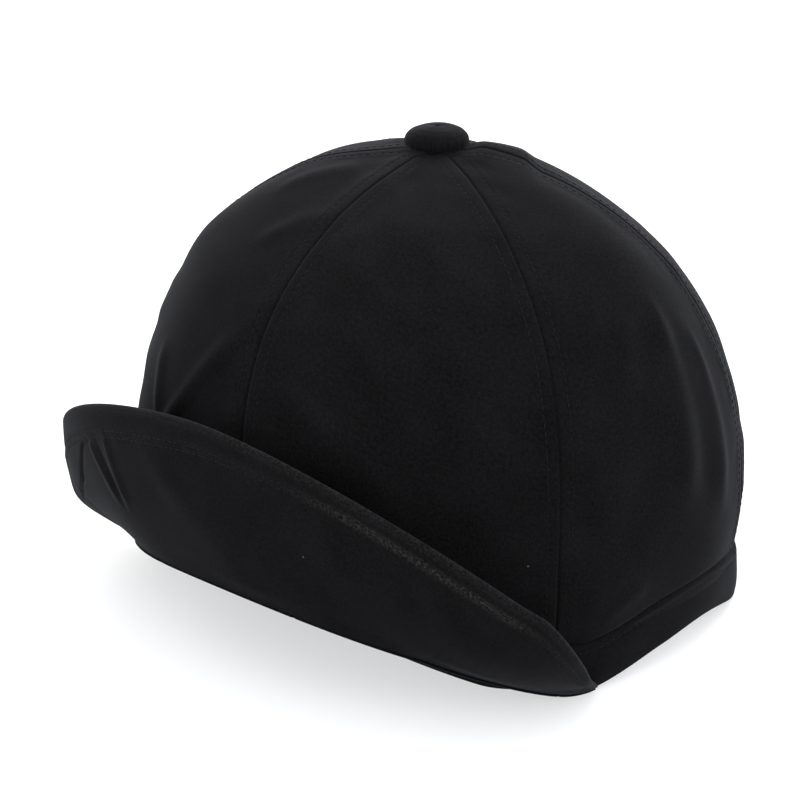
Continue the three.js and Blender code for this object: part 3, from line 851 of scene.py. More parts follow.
def panel_grid(index, columns=92, rows=170):
    """Base points of one panel, evenly spaced along each column and closer at the seams."""
    even = np.linspace(0, 1, 1500)
    turns = SEAMS[index] + even * PANEL_WIDTHS[index]
    bottoms = np.maximum(crown_edge(turns) - 0.6, opening_height(turns))
    drop = np.abs(np.diff(bottoms))
    from_seam = np.minimum(even[1:], 1 - even[1:])
    near_seam = 1 + 1.2 * bump(from_seam, 0.08) + 4 * bump(from_seam, 0.012)
    pace = np.append(0, np.cumsum(np.hypot(np.diff(even) * 100, 0.8 * drop) * near_seam))
    column_turns = np.interp(np.linspace(0, pace[-1], columns), pace, turns)
    column_bottoms = np.interp(column_turns, turns, bottoms)
    grid = np.empty((columns, rows, 3))
    for column, (turn, bottom) in enumerate(zip(column_turns, column_bottoms)):
        top = profile_of_reach(turn, 5.0 / HALF_WIDTH)
        profile = np.linspace(profile_at(turn, bottom), top, 400)
        path = crown_point(np.full(400, turn), profile)
        run = steps_along(path, 0)
        wanted = np.interp(shares(rows - 4, run[-1]) * run[-1], run, profile)
        grid[column] = crown_point(np.full(rows, turn), wanted)
    return grid


def crown_relief(base):
    """Large folds, and the fine relief of the seams, for one panel's grid."""
    across = steps_along(base, 0)
    up = steps_along(base, 1)
    from_seam = np.minimum(across, across[-1:] - across)
    from_top = up[:, -1:] - up
    folds = fold_relief(base, CROWN_FOLDS, level_point)
    folds += 0.5 * CROWN_NOISE(base) * smooth(from_seam / 12)
    folds = np.where(folds < 0, FOLD_CLEARANCE * np.tanh(folds / FOLD_CLEARANCE), folds)
    open_out = smooth(from_top / 14)
    allowance = ALLOWANCE_RISE * smooth((ALLOWANCE_WIDTH - from_seam) / 3.0) * smooth(from_seam / 1.2)
    groove = ridge(from_seam, SEAM_GROOVE)
    sunk = ridge(from_seam - SEAM_MARGIN, SEAM_DIP)
    pucker = 0.1 * PUCKER_NOISE(base) * bump(from_seam - 6, 5.0)
    sewing = (allowance + groove + sunk + pucker) * open_out
    return folds, sewing + ridge(up, CROWN_HEM) + ridge(from_top, CROWN_TUCK)


def build_crown():
    names = ["front_right", "side_right", "rear_right", "rear_left", "side_left", "front_left"]
    lines = []
    for index, name in enumerate(names):
        base = panel_grid(index)
        folds, fine = crown_relief(base)
        piece, top, normals = cloth_sheet(f"crown_cloth_{name}", base, PANEL_DEPTHS, TWILL,
                                          folds + fine, folds, rounded="")
        finish_piece(piece, "crown", "twill", f"crown_panel_{name}")
        across = steps_along(base, 0)
        lines.append(row_line(top, normals, across, SEAM_MARGIN))
        back = row_line(top[::-1], normals[::-1], steps_along(base[::-1], 0), SEAM_MARGIN)
        lines.append(back)
    keep = [(points[2:-6], ups[2:-6]) for points, ups in lines]
    finish_piece(stitches("crown_topstitching", keep), "crown", "twill")


# ---------------------------------------------------------------- band

def band_base(turns, heights):
    turn, height = np.meshgrid(turns, heights, indexing="ij")
    return level_point(turn, edge_height(turn) + height), turn


def build_band():
    heights = shares(26, BAND_HEIGHT) * BAND_HEIGHT
    end = rear_turn(np.array(OPENING_HALF_WIDTH), np.array(OPENING_STRAIGHT / 2))
    side_turns = np.linspace(BRIM_END, end, 200)
    turns = np.concatenate([-side_turns[:0:-1], np.linspace(-BRIM_END, BRIM_END, 260), side_turns[1:]])
    base, turn = band_base(turns, heights)
    up = steps_along(base, 1)
    swell = BAND_PUFF * np.sin(np.pi * clamp01(up / BAND_HEIGHT)) + BAND_SWELL
    swell += 1.0 * bump((np.abs(turn) - 126 * DEGREE) / DEGREE, 13)
    wrinkle = 0.3 * BAND_NOISE(base) * smooth(up / 4) * smooth((BAND_HEIGHT - up) / 4)
    sunk = ridge(up - (BAND_HEIGHT - BAND_MARGIN), BAND_DIP)
    closed_in = ridge(BAND_HEIGHT - up, BAND_CLOSING)
    relief = swell + wrinkle + sunk + closed_in
    spans = {"left": slice(0, 200), "front": slice(199, 459), "right": slice(458, 658)}
    lines = []
    for name, span in spans.items():
        piece, top, normals = cloth_sheet(f"band_cloth_{name}", base[span], PANEL_DEPTHS, TWILL,
                                          relief[span], 0, rounded="sides")
        finish_piece(piece, "crown", "twill", f"band_{name}")
        lines.append(row_line(top.swapaxes(0, 1), normals.swapaxes(0, 1), up[span].T,
                              BAND_HEIGHT - BAND_MARGIN))
    finish_piece(stitches("band_topstitching", lines), "crown", "twill")


# ---------------------------------------------------------------- button

def build_button():
    outline = np.array(BUTTON_OUTLINE + BUTTON_OUTLINE[:1])
    run = steps_along(outline, 0)
    fine = np.linspace(0, run[-1], 120)[:-1]
    radius = np.interp(fine, run, outline[:, 0])
    height = np.interp(fine, run, outline[:, 1])
    for _ in range(4):
        radius = (np.roll(radius, 1) + 2 * radius + np.roll(radius, -1)) / 4
        height = (np.roll(height, 1) + 2 * height + np.roll(height, -1)) / 4
    around = np.linspace(0, FULL_TURN, 120, endpoint=False)
    gathers = 0.07 * np.sin(around * 19 + 2 * np.sin(around * 2)) + 0.04 * np.sin(around * 31)
    low_rim = bump(height[None] - 1.6, 1.5) * smooth((radius[None] - 8.0) / 1.5)
    reach = radius[None] + gathers[:, None] * low_rim
    rise = height[None] + 0.12 * np.sin(2 * around + 1)[:, None] * smooth((height[None] - 3) / 3)
    x = np.sin(around)[:, None] * reach
    y = -np.cos(around)[:, None] * reach - APEX_LEAN
    points = np.stack([x, y, rise + CROWN_TOP], -1)
    columns, rows = points.shape[:2]
    index = np.arange(columns * rows).reshape(columns, rows)
    looped = np.pad(index, ((0, 1), (0, 1)), mode="wrap")
    flat = np.stack([x, y, 0 * x], -1).reshape(-1, 3)
    piece = add_object("button_cloth", points, grid_quads(looped), TWILL, flat)
    finish_piece(piece, "crown", "twill", "button_cover")


# ---------------------------------------------------------------- brim

def hem_place(turn, from_edge):
    """Distance from the free edge, as a share of how wide the hem is there. It narrows to the right."""
    return from_edge / mix(1, 0.58, smooth((turn + 12 * DEGREE) / (36 * DEGREE)))


def brim_thickness(turn, from_edge):
    full = mix(BRIM_THICK, BRIM_TIP_THICK, smooth((np.abs(turn) - 50 * DEGREE) / (24 * DEGREE)))
    edge = np.minimum(full, BRIM_EDGE_THICK)
    return mix(edge, full, smooth(from_edge / 10))


# Soft folds on the brim: (turn in degrees, share of its height) at both ends, width, relief.
BRIM_FOLDS = [
    ((-22.5, 0.76), (-20.2, 0.40), 1.8, 0.6),
    ((-18.0, 0.79), (-17.6, 0.38), 2.0, 0.6),
    ((-20.4, 0.76), (-18.8, 0.38), 1.5, -0.5),
    ((-26.2, 0.75), (-33.5, 0.52), 0.9, -0.8),
    ((-33.5, 0.52), (-41.9, 0.39), 0.9, -0.8),
    ((-26.2, 0.75), (-22.5, 0.79), 0.9, -0.5),
    ((-8, 0.7), (4, 0.3), 7.0, 0.6),
    ((12, 0.75), (24, 0.25), 8.0, -0.6),
    ((34, 0.7), (46, 0.3), 6.0, 0.6),
    ((60, 0.8), (68, 0.2), 4.0, -0.5),
    ((-48, 0.8), (-60, 0.3), 5.0, 0.5),
]


def brim_columns():
    """Turns of the brim's columns, closer at the sides, with one on each section's end."""
    ends = np.linspace(-BRIM_END, BRIM_END, len(BRIM_SECTIONS) + 1)
    ends[0], ends[-1] = -BRIM_TIP, BRIM_TIP
    return [np.linspace(a, b, count) for a, b, count in zip(ends, ends[1:], SECTION_COLUMNS)]


def brim_relief(base, turn, from_edge):
    folds = fold_relief(base, BRIM_FOLDS, lambda a, b: brim_point(np.atleast_1d(a), np.atleast_1d(b))[0])
    folds += 0.45 * BRIM_NOISE(base) * smooth(from_edge / 8)
    place = hem_place(turn, from_edge)
    hem = 0.2 * smooth((HEM_ROWS[0] + 0.6 - place) / 1.6)
    sunk = sum(ridge(place - row, HEM_DIP) for row in HEM_ROWS)
    between = ridge(place - sum(HEM_ROWS) / 2, HEM_RIDGE)
    run = steps_along(base, 0)
    pucker = 0.035 * np.sin(run * FULL_TURN / 7.5 + 2.5 * np.sin(run / 13)) * bump(from_edge - 8.5, 3)
    return folds, hem + sunk + between + pucker


def build_brim():
    groups = brim_columns()
    turns = np.concatenate([group[:-1] for group in groups[:-1]] + [groups[-1]])
    turn, rise = np.meshgrid(turns, shares(70, 60.0), indexing="ij")
    base = brim_point(turn, rise)
    normals = grid_normals(base)
    up = steps_along(base, 1)
    from_edge = up[:, -1:] - up
    place = hem_place(turn, from_edge)
    folds, fine = brim_relief(base, turn, from_edge)
    folds = folds * smooth(up / 6)
    fine = fine * smooth(up / 4)
    thick = brim_thickness(turn, from_edge)
    outside, inside = brim_loops(base, normals, folds, fine, thick)
    flat = sleeve_cloth_place(base, up)
    wear = looped_field(brim_wear(turn, from_edge), 0 * up)
    first = 0
    for name, group in zip(BRIM_SECTIONS, groups):
        part = slice(first, first + len(group))
        first += len(group) - 1
        body = f"brim_{name}"
        sleeve = sleeve_object(f"brim_cloth_{name}", outside[part], inside[part], flat[part], wear[part])
        finish_piece(sleeve, body, "twill", f"brim_lower_cloth_{name}", f"brim_upper_cloth_{name}")
        build_stiffener(name, body, group)
        heights = ((folds + fine)[part], (folds - thick)[part])
        lines = hem_lines(base[part], normals[part], heights, place[part])
        finish_piece(stitches(f"brim_topstitching_{name}", lines), body, "twill")


def brim_loops(base, normals, folds, fine, thick):
    """The sleeve's outside and its inside, as closed sections."""
    cloth = np.minimum(BRIM_CLOTH, 0.4 * thick)
    tangent = unit(np.gradient(base, axis=1))
    outside = sleeve_loop(base, normals, tangent, folds + fine, folds - thick - 0.5 * fine)
    inside = sleeve_loop(base, normals, tangent, folds - cloth, folds - thick + cloth)
    return outside, inside


def sleeve_cloth_place(base, up):
    """Places in the flat cloth round the sleeve, which run on over its two rounded edges."""
    around = steps_along(base, 0)
    flat = np.stack([around - around[-1:] / 2, up, 0 * up], -1)
    flat = looped_field(flat, flat)
    rows = up.shape[1]
    arch = ROUNDED_EDGE * np.sin(np.linspace(0, np.pi, EDGE_STEPS + 2)[1:-1])
    flat[:, rows:rows + EDGE_STEPS, 1] += arch
    flat[:, -EDGE_STEPS:, 1] -= arch
    return flat


def hem_lines(base, normals, heights, place):
    """Lines for the hem's rows of stitches, on both faces of the brim."""
    lines = []
    for side, height in zip((1, -1), heights):
        surface = (base + normals * height[..., None]).swapaxes(0, 1)[::-1]
        facing = side * normals.swapaxes(0, 1)[::-1]
        lines += [row_line(surface, facing, place.T[::-1], row) for row in HEM_ROWS]
    return lines


def brim_wear(turn, from_edge):
    """Wear on the free edge and along the hem's stitching."""
    worn_side = LEAST_WEAR + smooth((turn - WEAR_STARTS) / (14 * DEGREE))
    fading = 1 - 0.8 * smooth((turn - WEAR_FADES) / (9 * DEGREE))
    place = hem_place(turn, from_edge)
    hem = sum(ridge(place - row, wear) for row, wear in zip(HEM_ROWS, HEM_WEAR))
    return hem * worn_side * fading + ridge(from_edge, EDGE_WEAR)


def sleeve_loop(base, normals, tangent, high, low):
    """Closed sections round the brim: one face, its free edge, the other face, its fold."""
    outer = base + normals * high[..., None]
    inner = base + normals * low[..., None]
    over_edge = half_ring(outer[:, -1], inner[:, -1], tangent[:, -1], 1.0)
    round_fold = half_ring(inner[:, 0], outer[:, 0], -tangent[:, 0], 0.55)
    return np.concatenate([outer, over_edge, inner[:, ::-1], round_fold], axis=1)


def looped_field(outer, inner):
    """A field over both faces of the brim, carried over its two rounded edges."""
    over_edge = np.repeat(outer[:, -1:], EDGE_STEPS, axis=1)
    round_fold = np.repeat(outer[:, :1], EDGE_STEPS, axis=1)
    return np.concatenate([outer, over_edge, inner[:, ::-1], round_fold], axis=1)


def build_stiffener(name, body, group):
    """The board inside one section of the brim. It stops short of the hem and the tips."""
    turns = group[np.abs(group) < 68 * DEGREE][1:-1:4]
    turn, share = np.meshgrid(turns, np.linspace(0, 1, 26), indexing="ij")
    length = np.linalg.norm(brim_edge(turn) - brim_fold(turn), axis=-1)
    rise = mix(3.0 / length, 1 - np.minimum(7.0 / length, 0.45), share)
    base = brim_point(turn, rise)
    folds, _ = brim_relief(base, turn, (1 - rise) * length)
    middle = brim_thickness(turn, (1 - rise) * length) / 2
    height = folds * smooth(rise * length / 6) - middle
    piece, _, _ = cloth_sheet(f"brim_stiffener_{name}", base, (-0.3, 0.3), BOARD, height, height)
    finish_piece(piece, body, "board", f"brim_board_{name}")


def half_ring(start, end, outward, bulge):
    """Points that round off the edge between two lines of points."""
    middle = (start + end) / 2
    half = (start - end) / 2
    reach = np.linalg.norm(half, axis=1, keepdims=True) * bulge
    angles = np.linspace(0, np.pi, EDGE_STEPS + 2)[1:-1]
    ring = [middle + half * math.cos(angle) + outward * reach * math.sin(angle) for angle in angles]
    return np.stack(ring, axis=1)


def sleeve_object(name, outside, inside, flat, wear):
    """A cloth sleeve between two nested tubes, whose sections are the columns of looped grids."""
    columns, rows = outside.shape[:2]
    count = columns * rows
    index = np.pad(np.arange(count).reshape(columns, rows), ((0, 0), (0, 1)), mode="wrap")
    ends = []
    for ring, turned in ((index[0], False), (index[-1], True)):
        quad = np.stack([ring[:-1], ring[1:], ring[1:] + count, ring[:-1] + count], -1)
        ends.append(quad[:, ::-1] if turned else quad)
    faces = np.concatenate([grid_quads(index), grid_quads(index + count)[:, ::-1], *ends])
    points = np.concatenate([outside.reshape(-1, 3), inside.reshape(-1, 3)])
    return add_object(name, points, faces, TWILL, np.tile(flat.reshape(-1, 3), (2, 1)),
                      np.tile(wear.ravel(), 2))


def blend_at_hinge(piece, joint, before, after):
    """Bakes a piece's placement into its mesh. The joint and the two distances are not used."""
    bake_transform(piece)


def root_lines(turns):
    """The band's lower edge and the brim's fold, which the root joins."""
    band = level_point(turns, np.maximum(edge_height(turns), 0.5))
    band[:, 2] = edge_height(turns) + 0.75
    fold = brim_fold(turns)
    fold[:, 2] -= mix(0.75, 0.25, smooth((-turns / DEGREE - 40) / 8))
    return band, fold


def root_strip(name, ends):
    turns = np.linspace(*sorted(ends), 64)
    band, fold = root_lines(turns)
    reach = mix(1.05, 0.9, smooth((turns / DEGREE - 42) / 14))
    share = np.linspace(0, 1, 9)[None, :, None] * reach[:, None, None]
    base = mix(band[:, None], fold[:, None], share)
    piece, _, _ = cloth_sheet(name, base, (-ROOT_HALF, ROOT_HALF), TWILL)
    return finish_piece(piece, None, "twill")


def build_brim_root():
    """The cloth that joins the band's lower edge to the brim's fold, a strip for each section and for each
    tip.
    """
    hinges = {joint["child"]: joint for joint in frame["joints"]}
    for name, group in zip(BRIM_SECTIONS, brim_columns()):
        piece = root_strip(f"brim_root_cloth_{name}", np.clip(group[[0, -1]], -ROOT_TIP, ROOT_TIP))
        blend_at_hinge(piece, hinges[f"brim_{name}"], *ROOT_BEND)
    for side, name in ((-1, "left_wing"), (1, "right_wing")):
        piece = root_strip(f"brim_root_cloth_{name}_tip", (side * ROOT_TIP, side * BRIM_TIP))
        band, fold = root_lines(np.array([side * (ROOT_TIP + BRIM_TIP) / 2]))
        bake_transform(piece)


def build_lining_edge():
    """The lining's lower edge, inside the band. It shows under the brim and closes the fold's gaps."""
    turns = np.linspace(-LINING_END, LINING_END, 260)
    drop = LINING_DROP * smooth((LINING_END - np.abs(turns)) / LINING_FADE)
    share = np.linspace(0, 1, 9)
    turn = np.tile(turns[:, None], (1, len(share)))
    z = edge_height(turn) + mix(-drop[:, None], 2.0, share[None])
    piece, _, _ = cloth_sheet("lining_edge_cloth", level_point(turn, z), LINING_DEPTHS, TWILL)
    finish_piece(piece, "crown", "twill")


# ---------------------------------------------------------------- inside of the cap

def build_tapes():
    names = ["front", "right_front", "right_rear", "rear", "left_rear", "left_front"]
    lines = []
    for seam, name in zip(SEAMS, names):
        bottom = max(edge_height(seam) + SWEATBAND_HIGH + 4, OPENING_TOP + 11)
        profile = np.linspace(profile_at(seam, bottom), profile_of_reach(seam, 0.18), 90)
        middle = crown_point(np.full(90, seam), profile)
        rise = np.linspace(0, 1, 90)
        radius = np.hypot(middle[:, 0], middle[:, 1] + APEX_LEAN * rise)
        offsets = np.linspace(-TAPE_HALF_WIDTH, TAPE_HALF_WIDTH, 15)
        base = crown_point(seam + offsets[:, None] / radius[None], np.tile(profile, (15, 1)))
        across = steps_along(base, 0)
        middle_ridge = ridge(across - TAPE_HALF_WIDTH, TAPE_RIDGE)
        piece, _, normals = cloth_sheet(f"seam_tape_cloth_{name}", base, TAPE_DEPTHS, TAPE, 0,
                                        -middle_ridge)
        finish_piece(piece, "crown", "tape", f"seam_tape_{name}")
        inner = base - normals * TAPE_THREAD_DEPTH
        for value in (TAPE_MARGIN, 2 * TAPE_HALF_WIDTH - TAPE_MARGIN):
            lines.append(row_line(inner, -normals, across, value))
    finish_piece(stitches("seam_tape_stitching", lines), "crown", "twill")


def build_sweatband():
    turns = np.linspace(-SWEATBAND_END, SWEATBAND_END, 420)
    heights = np.linspace(SWEATBAND_LOW, SWEATBAND_HIGH, 30)
    base, _ = band_base(turns, heights)
    up = steps_along(base, 1)
    across = steps_along(base, 0)
    height = SWEATBAND_HIGH - SWEATBAND_LOW
    puff = SWEATBAND_PUFF * np.sin(np.pi * clamp01(up / height)) ** 0.7
    gathers = np.sin(across * FULL_TURN / 9 + np.sin(across / 23))
    pucker = SWEATBAND_PUCKER * gathers * bump(up - height + 4, 5)
    sunk = ridge(up - SWEATBAND_ROW, SWEATBAND_DIP)
    piece, _, normals = cloth_sheet("sweatband_cloth", base, SWEATBAND_DEPTHS, TERRY, 0,
                                    -(puff + pucker + sunk))
    finish_piece(piece, "crown", "terry", "sweatband")
    inner = base - normals * (SWEATBAND_THREAD_DEPTH + puff + sunk)[..., None]
    line = row_line(inner.swapaxes(0, 1), -normals.swapaxes(0, 1), up.T, SWEATBAND_ROW)
    finish_piece(stitches("sweatband_stitching", [line]), "crown", "twill")


def stuff(piece, most, voxel):
    """Swells a closed pad as cloth under pressure. No point moves further than the given millimetres."""
    remesh = piece.modifiers.new("even_mesh", "REMESH")
    remesh.mode = "VOXEL"
    remesh.voxel_size = voxel * MM
    remesh.use_smooth_shade = True
    apply_modifiers(piece)
    start = mesh_points(piece.data)
    settings = piece.modifiers.new("stuffing", "CLOTH").settings
    for key, value in STUFFING.items():
        setattr(settings, key, value)
    settings.effector_weights.gravity = 0
    for number in range(1, STUFFING_FRAMES + 1):
        bpy.context.scene.frame_set(number)
    graph = bpy.context.evaluated_depsgraph_get()
    swollen = mesh_points(piece.evaluated_get(graph).data)
    piece.modifiers.clear()
    move = swollen - start
    length = np.linalg.norm(move, axis=1, keepdims=True)
    move *= np.minimum(1, most * MM / np.maximum(length, 1e-9))
    piece.data.vertices.foreach_set("co", (start + move).astype(np.float32).ravel())
    finer = piece.modifiers.new("finer", "SUBSURF")
    finer.levels = 1
    apply_modifiers(piece)
    bpy.context.scene.frame_set(1)
    lay_flat(piece.data)


def mesh_points(mesh):
    points = np.empty(len(mesh.vertices) * 3, np.float32)
    mesh.vertices.foreach_get("co", points)
    return points.reshape(-1, 3).astype(float)


def lay_flat(mesh):
    """Gives a mesh that has no flat cloth its own places as its cloth places."""
    set_attribute(mesh, "cloth", "FLOAT_VECTOR", "vector", mesh_points(mesh) / MM)


def crowned(base, height, channels=()):
    """Relief of a stuffed pad: full in the middle, pulled in at its border and its sewn channels."""
    across = steps_along(base, 0)
    along = steps_along(base, 1)
    share_u = across / across[-1:]
    share_v = along / along[:, -1:]
    relief = height * (np.sin(np.pi * share_u) * np.sin(np.pi * share_v)) ** 0.45
    for channel in channels:
        relief -= 0.6 * height * bump((share_u - channel) * across[-1:], 1.4)
    return relief


def build_brow_pad():
    turns = np.linspace(-BROW_PAD_TURN, BROW_PAD_TURN, 200)
    heights = np.linspace(SWEATBAND_LOW + BROW_PAD_MARGIN, SWEATBAND_HIGH - BROW_PAD_MARGIN, 34)
    base, _ = band_base(turns, heights)
    channels = np.linspace(0, 1, 7)[1:-1]
    piece, _, _ = cloth_sheet("brow_pad_cover", base, BROW_PAD_DEPTHS, TERRY, 0,
                              -crowned(base, BROW_PAD_FULLNESS, channels))
    stuff(piece, BROW_PAD_SWELL, BROW_PAD_VOXEL)
    finish_piece(piece, "crown", "foam", "brow_pad")


def shell_rim(turn):
    return profile_at(turn, SHELL_RIM_Z + SHELL_RIM_RISE * np.cos(turn / 2) ** 4)


def dome_grid(rim, columns, rows):
    """Points on the crown from a rim up to just short of the top, closed round the turn."""
    turns = np.linspace(0, FULL_TURN, columns, endpoint=False)
    share = np.linspace(0, 1, rows)
    profile = mix(rim(turns)[:, None], 0.9985, share[None] ** 0.85)
    turn = np.tile(turns[:, None], (1, rows))
    return turn, profile


def dome_object(name, rim, columns, rows, depths, look, inner_relief=0.0):
    turn, profile = dome_grid(rim, columns, rows)
    normals = normal_of(crown_point, turn, profile)
    base = crown_point(turn, profile)
    low, high = depths
    edge = steps_along(base, 1)
    radius = (high - low) / 2
    closing = edge_closing(edge, radius, 0.9)
    outer = base + normals * (high - closing)[..., None]
    inner = base + normals * (low + closing + inner_relief * smooth(edge / 6))[..., None]
    loop = np.concatenate([outer, inner[:, ::-1]], axis=1)
    rows_all = loop.shape[1]
    index = np.arange(columns * rows_all).reshape(columns, rows_all)
    around = np.pad(index, ((0, 1), (0, 1)), mode="wrap")
    quads = grid_quads(around)
    crossing = np.isin(quads, index[:, rows - 1]).any(1) & np.isin(quads, index[:, rows]).any(1)
    faces = quads[~crossing].tolist()
    faces.append([int(i) for i in index[:, rows - 1]])
    faces.append([int(i) for i in index[::-1, rows]])
    return add_object(name, loop, faces, look, sharp=40)


def build_shell():
    shell = dome_object("bump_shell_moulding", shell_rim, 160, 44, (SHELL_INNER, SHELL_OUTER), SHELL)
    cutter = vent_cutter()
    cut = shell.modifiers.new("vents", "BOOLEAN")
    cut.object = cutter
    cut.solver = "EXACT"
    apply_modifiers(shell)
    bpy.data.objects.remove(cutter)
    shell.data.set_sharp_from_angle(angle=35 * DEGREE)
    lay_flat(shell.data)
    finish_piece(shell, "crown", "shell", "bump_shell")


def apply_modifiers(piece):
    """Makes a piece's modifiers part of its mesh."""
    graph = bpy.context.evaluated_depsgraph_get()
    mesh = bpy.data.meshes.new_from_object(piece.evaluated_get(graph))
    piece.modifiers.clear()
    piece.data = mesh


def vent_outline(width, length):
    """A slot with round ends, as places across and along it."""
    corner = np.linspace(0, np.pi, 9)
    straight = (length - width) / 2
    arc = width / 2 * np.stack([np.cos(corner), np.sin(corner)], -1)
    return np.concatenate([arc + [0, straight], -arc - [0, straight]])


def vent_block(outline, turn, profile):
    """Both ends of a block with this outline that stands square to the crown."""
    place = (np.array(turn), np.array(profile))
    outward = normal_of(crown_point, *place)
    upward = crown_point(turn, profile + 1e-3) - crown_point(turn, profile - 1e-3)
    upward /= np.linalg.norm(upward)
    across = np.cross(upward, outward)
    face = crown_point(*place) + across * outline[:, :1] + upward * outline[:, 1:]
    return np.concatenate([face + outward * depth for depth in VENT_CUT_DEPTHS])


def vent_cutter():
    """Rounded blocks where the shell has its vents."""
    points = []
    faces = []
    for profile, width, length in VENT_ROWS:
        outline = vent_outline(width, length)
        count = len(outline)
        for index in range(VENTS_IN_ROW):
            inner = list(range(len(points), len(points) + count))
            outer = [corner + count for corner in inner]
            points.extend(vent_block(outline, (index + 0.5) * 360 / VENTS_IN_ROW * DEGREE, profile))
            faces += [inner[::-1], outer]
            for i in range(count):
                ahead = (i + 1) % count
                faces.append([inner[i], inner[ahead], outer[ahead], outer[i]])
    return add_object("vent_cutter", np.array(points), faces, SHELL)


def build_pads():
    for name, centre in PAD_TURNS.items():
        turns = np.linspace(centre - PAD_HALF_TURN, centre + PAD_HALF_TURN, 56) * DEGREE
        turn, profile = np.meshgrid(turns, np.linspace(*PAD_PROFILES, 44), indexing="ij")
        base = rounded_corners(crown_point(turn, profile), PAD_CORNER)
        piece, _, _ = cloth_sheet(f"pad_{name}_foam", base, (PAD_INNER, PAD_OUTER), FOAM, 0,
                                  -crowned(base, PAD_FULLNESS, (1 / 3, 2 / 3)))
        stuff(piece, PAD_SWELL, PAD_VOXEL)
        finish_piece(piece, "crown", "foam", f"pad_{name}")
    crown_pad = dome_object("pad_crown_foam", lambda turn: profile_of_reach(turn, CROWN_PAD_REACH), 96, 24,
                            (CROWN_PAD_INNER, PAD_OUTER), FOAM, -CROWN_PAD_FULLNESS)
    stuff(crown_pad, PAD_SWELL, PAD_VOXEL)
    finish_piece(crown_pad, "crown", "foam", "pad_crown")


def rounded_corners(base, radius):
    """Pulls a grid's corners in, so that its outline has round corners."""
    across = steps_along(base, 0)
    along = steps_along(base, 1)
    u = across - across[-1:] / 2
    v = along - along[:, -1:] / 2
    half_u = across[-1:] / 2
    half_v = along[:, -1:] / 2
    over_u = np.maximum(0, np.abs(u) - (half_u - radius)) / radius
    over_v = np.maximum(0, np.abs(v) - (half_v - radius)) / radius
    squeeze = np.where((over_u > 0) & (over_v > 0), 1 / np.sqrt(1 + np.minimum(over_u, over_v) ** 2), 1)
    wanted_u = np.sign(u) * (np.minimum(np.abs(u), half_u - radius) + over_u * radius * squeeze)
    wanted_v = np.sign(v) * (np.minimum(np.abs(v), half_v - radius) + over_v * radius * squeeze)
    shift_u = (wanted_u - u)[..., None] * unit(np.gradient(base, axis=0))
    shift_v = (wanted_v - v)[..., None] * unit(np.gradient(base, axis=1))
    return base + shift_u + shift_v


def build_insert_patches():
    for name, centre in PATCH_TURNS.items():
        turns = np.linspace(centre - PATCH_HALF_TURN, centre + PATCH_HALF_TURN, 16) * DEGREE
        turn, profile = np.meshgrid(turns, np.linspace(*PATCH_PROFILES, 14), indexing="ij")
        base = crown_point(turn, profile)
        for kind, depths in (("loop", LOOP_DEPTHS), ("hook", HOOK_DEPTHS)):
            piece, _, _ = cloth_sheet(f"insert_{kind}_tape_{name}", base, depths, HOOK)
            finish_piece(piece, "crown", "hook", f"insert_{kind}_patch_{name}")


# ---------------------------------------------------------------- rear opening and strap

def build_binding():
    """Tape that binds the arch of the rear opening on the inside."""
    corner = np.linspace(0, np.pi, 90)
    leg = np.linspace(1.5, OPENING_STRAIGHT, 18)[:-1]
    widths = np.linspace(0.3, BINDING_WIDTH, 9)
    columns = []
    for width in widths:
        half = OPENING_HALF_WIDTH + width
        high = OPENING_TOP - OPENING_STRAIGHT + width
        x = np.concatenate([0 * leg + half, half * np.cos(corner), 0 * leg - half])
        z = np.concatenate([leg, OPENING_STRAIGHT + high * np.sin(corner), leg[::-1]])
        columns.append(level_point(rear_turn(x, z), z))
    base = np.stack(columns, axis=1)
    piece, _, _ = cloth_sheet("opening_binding_tape", base, BINDING_DEPTHS, TAPE)
    finish_piece(piece, "crown", "tape", "opening_binding")


def ribbon(name, path, body, node):
    """A strap that follows a path of (turn in degrees, depth), smoothed, with its rows of stitches."""
    path = np.array(path, float)
    for _ in range(3):
        cut_low = 0.75 * path[:-1] + 0.25 * path[1:]
        cut_high = 0.25 * path[:-1] + 0.75 * path[1:]
        middle = np.stack([cut_low, cut_high], 1).reshape(-1, 2)
        path = np.concatenate([path[:1], middle, path[-1:]])
    turns = path[:, 0] * DEGREE
    turn, height = np.meshgrid(turns, np.linspace(STRAP_LOW, STRAP_HIGH, 24), indexing="ij")
    base = level_point(turn, height) + normal_of(level_point, turn, height) * path[:, 1][:, None, None]
    up = steps_along(base, 1)
    wide = up[:, -1:]
    dip, reach = STRAP_DIP
    groove = sum(dip * (bump(up - row, reach) + bump(wide - up - row, reach)) for row in STRAP_ROWS)
    depths = (-STRAP_THICK / 2, STRAP_THICK / 2)
    piece, top, normals = cloth_sheet(name, base, depths, TWILL, groove, -groove)
    finish_piece(piece, body, "twill", node)
    lines = []
    for row in STRAP_ROWS:
        for value in (row, float(wide.mean()) - row):
            lines.append(row_line(top.swapaxes(0, 1), normals.swapaxes(0, 1), up.T, value))
    thread = stitches(f"{name}_stitching", lines)
    finish_piece(thread, body, "twill")
    return piece, thread


def bend_tail(piece):
    """Bakes the placement of the strap's tail, which leaves the slide, into its mesh."""
    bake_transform(piece)


def strap_patch(name, turns, depths, body, node, relief=0.0):
    heights = np.linspace(STRAP_LOW + 1, STRAP_HIGH - 1, 20)
    turn, z = np.meshgrid(np.linspace(*turns, 50) * DEGREE, heights, indexing="ij")
    base = level_point(turn, z)
    piece, _, _ = cloth_sheet(name, base, depths, HOOK, relief * PILE_NOISE(base))
    finish_piece(piece, body, "hook", node)


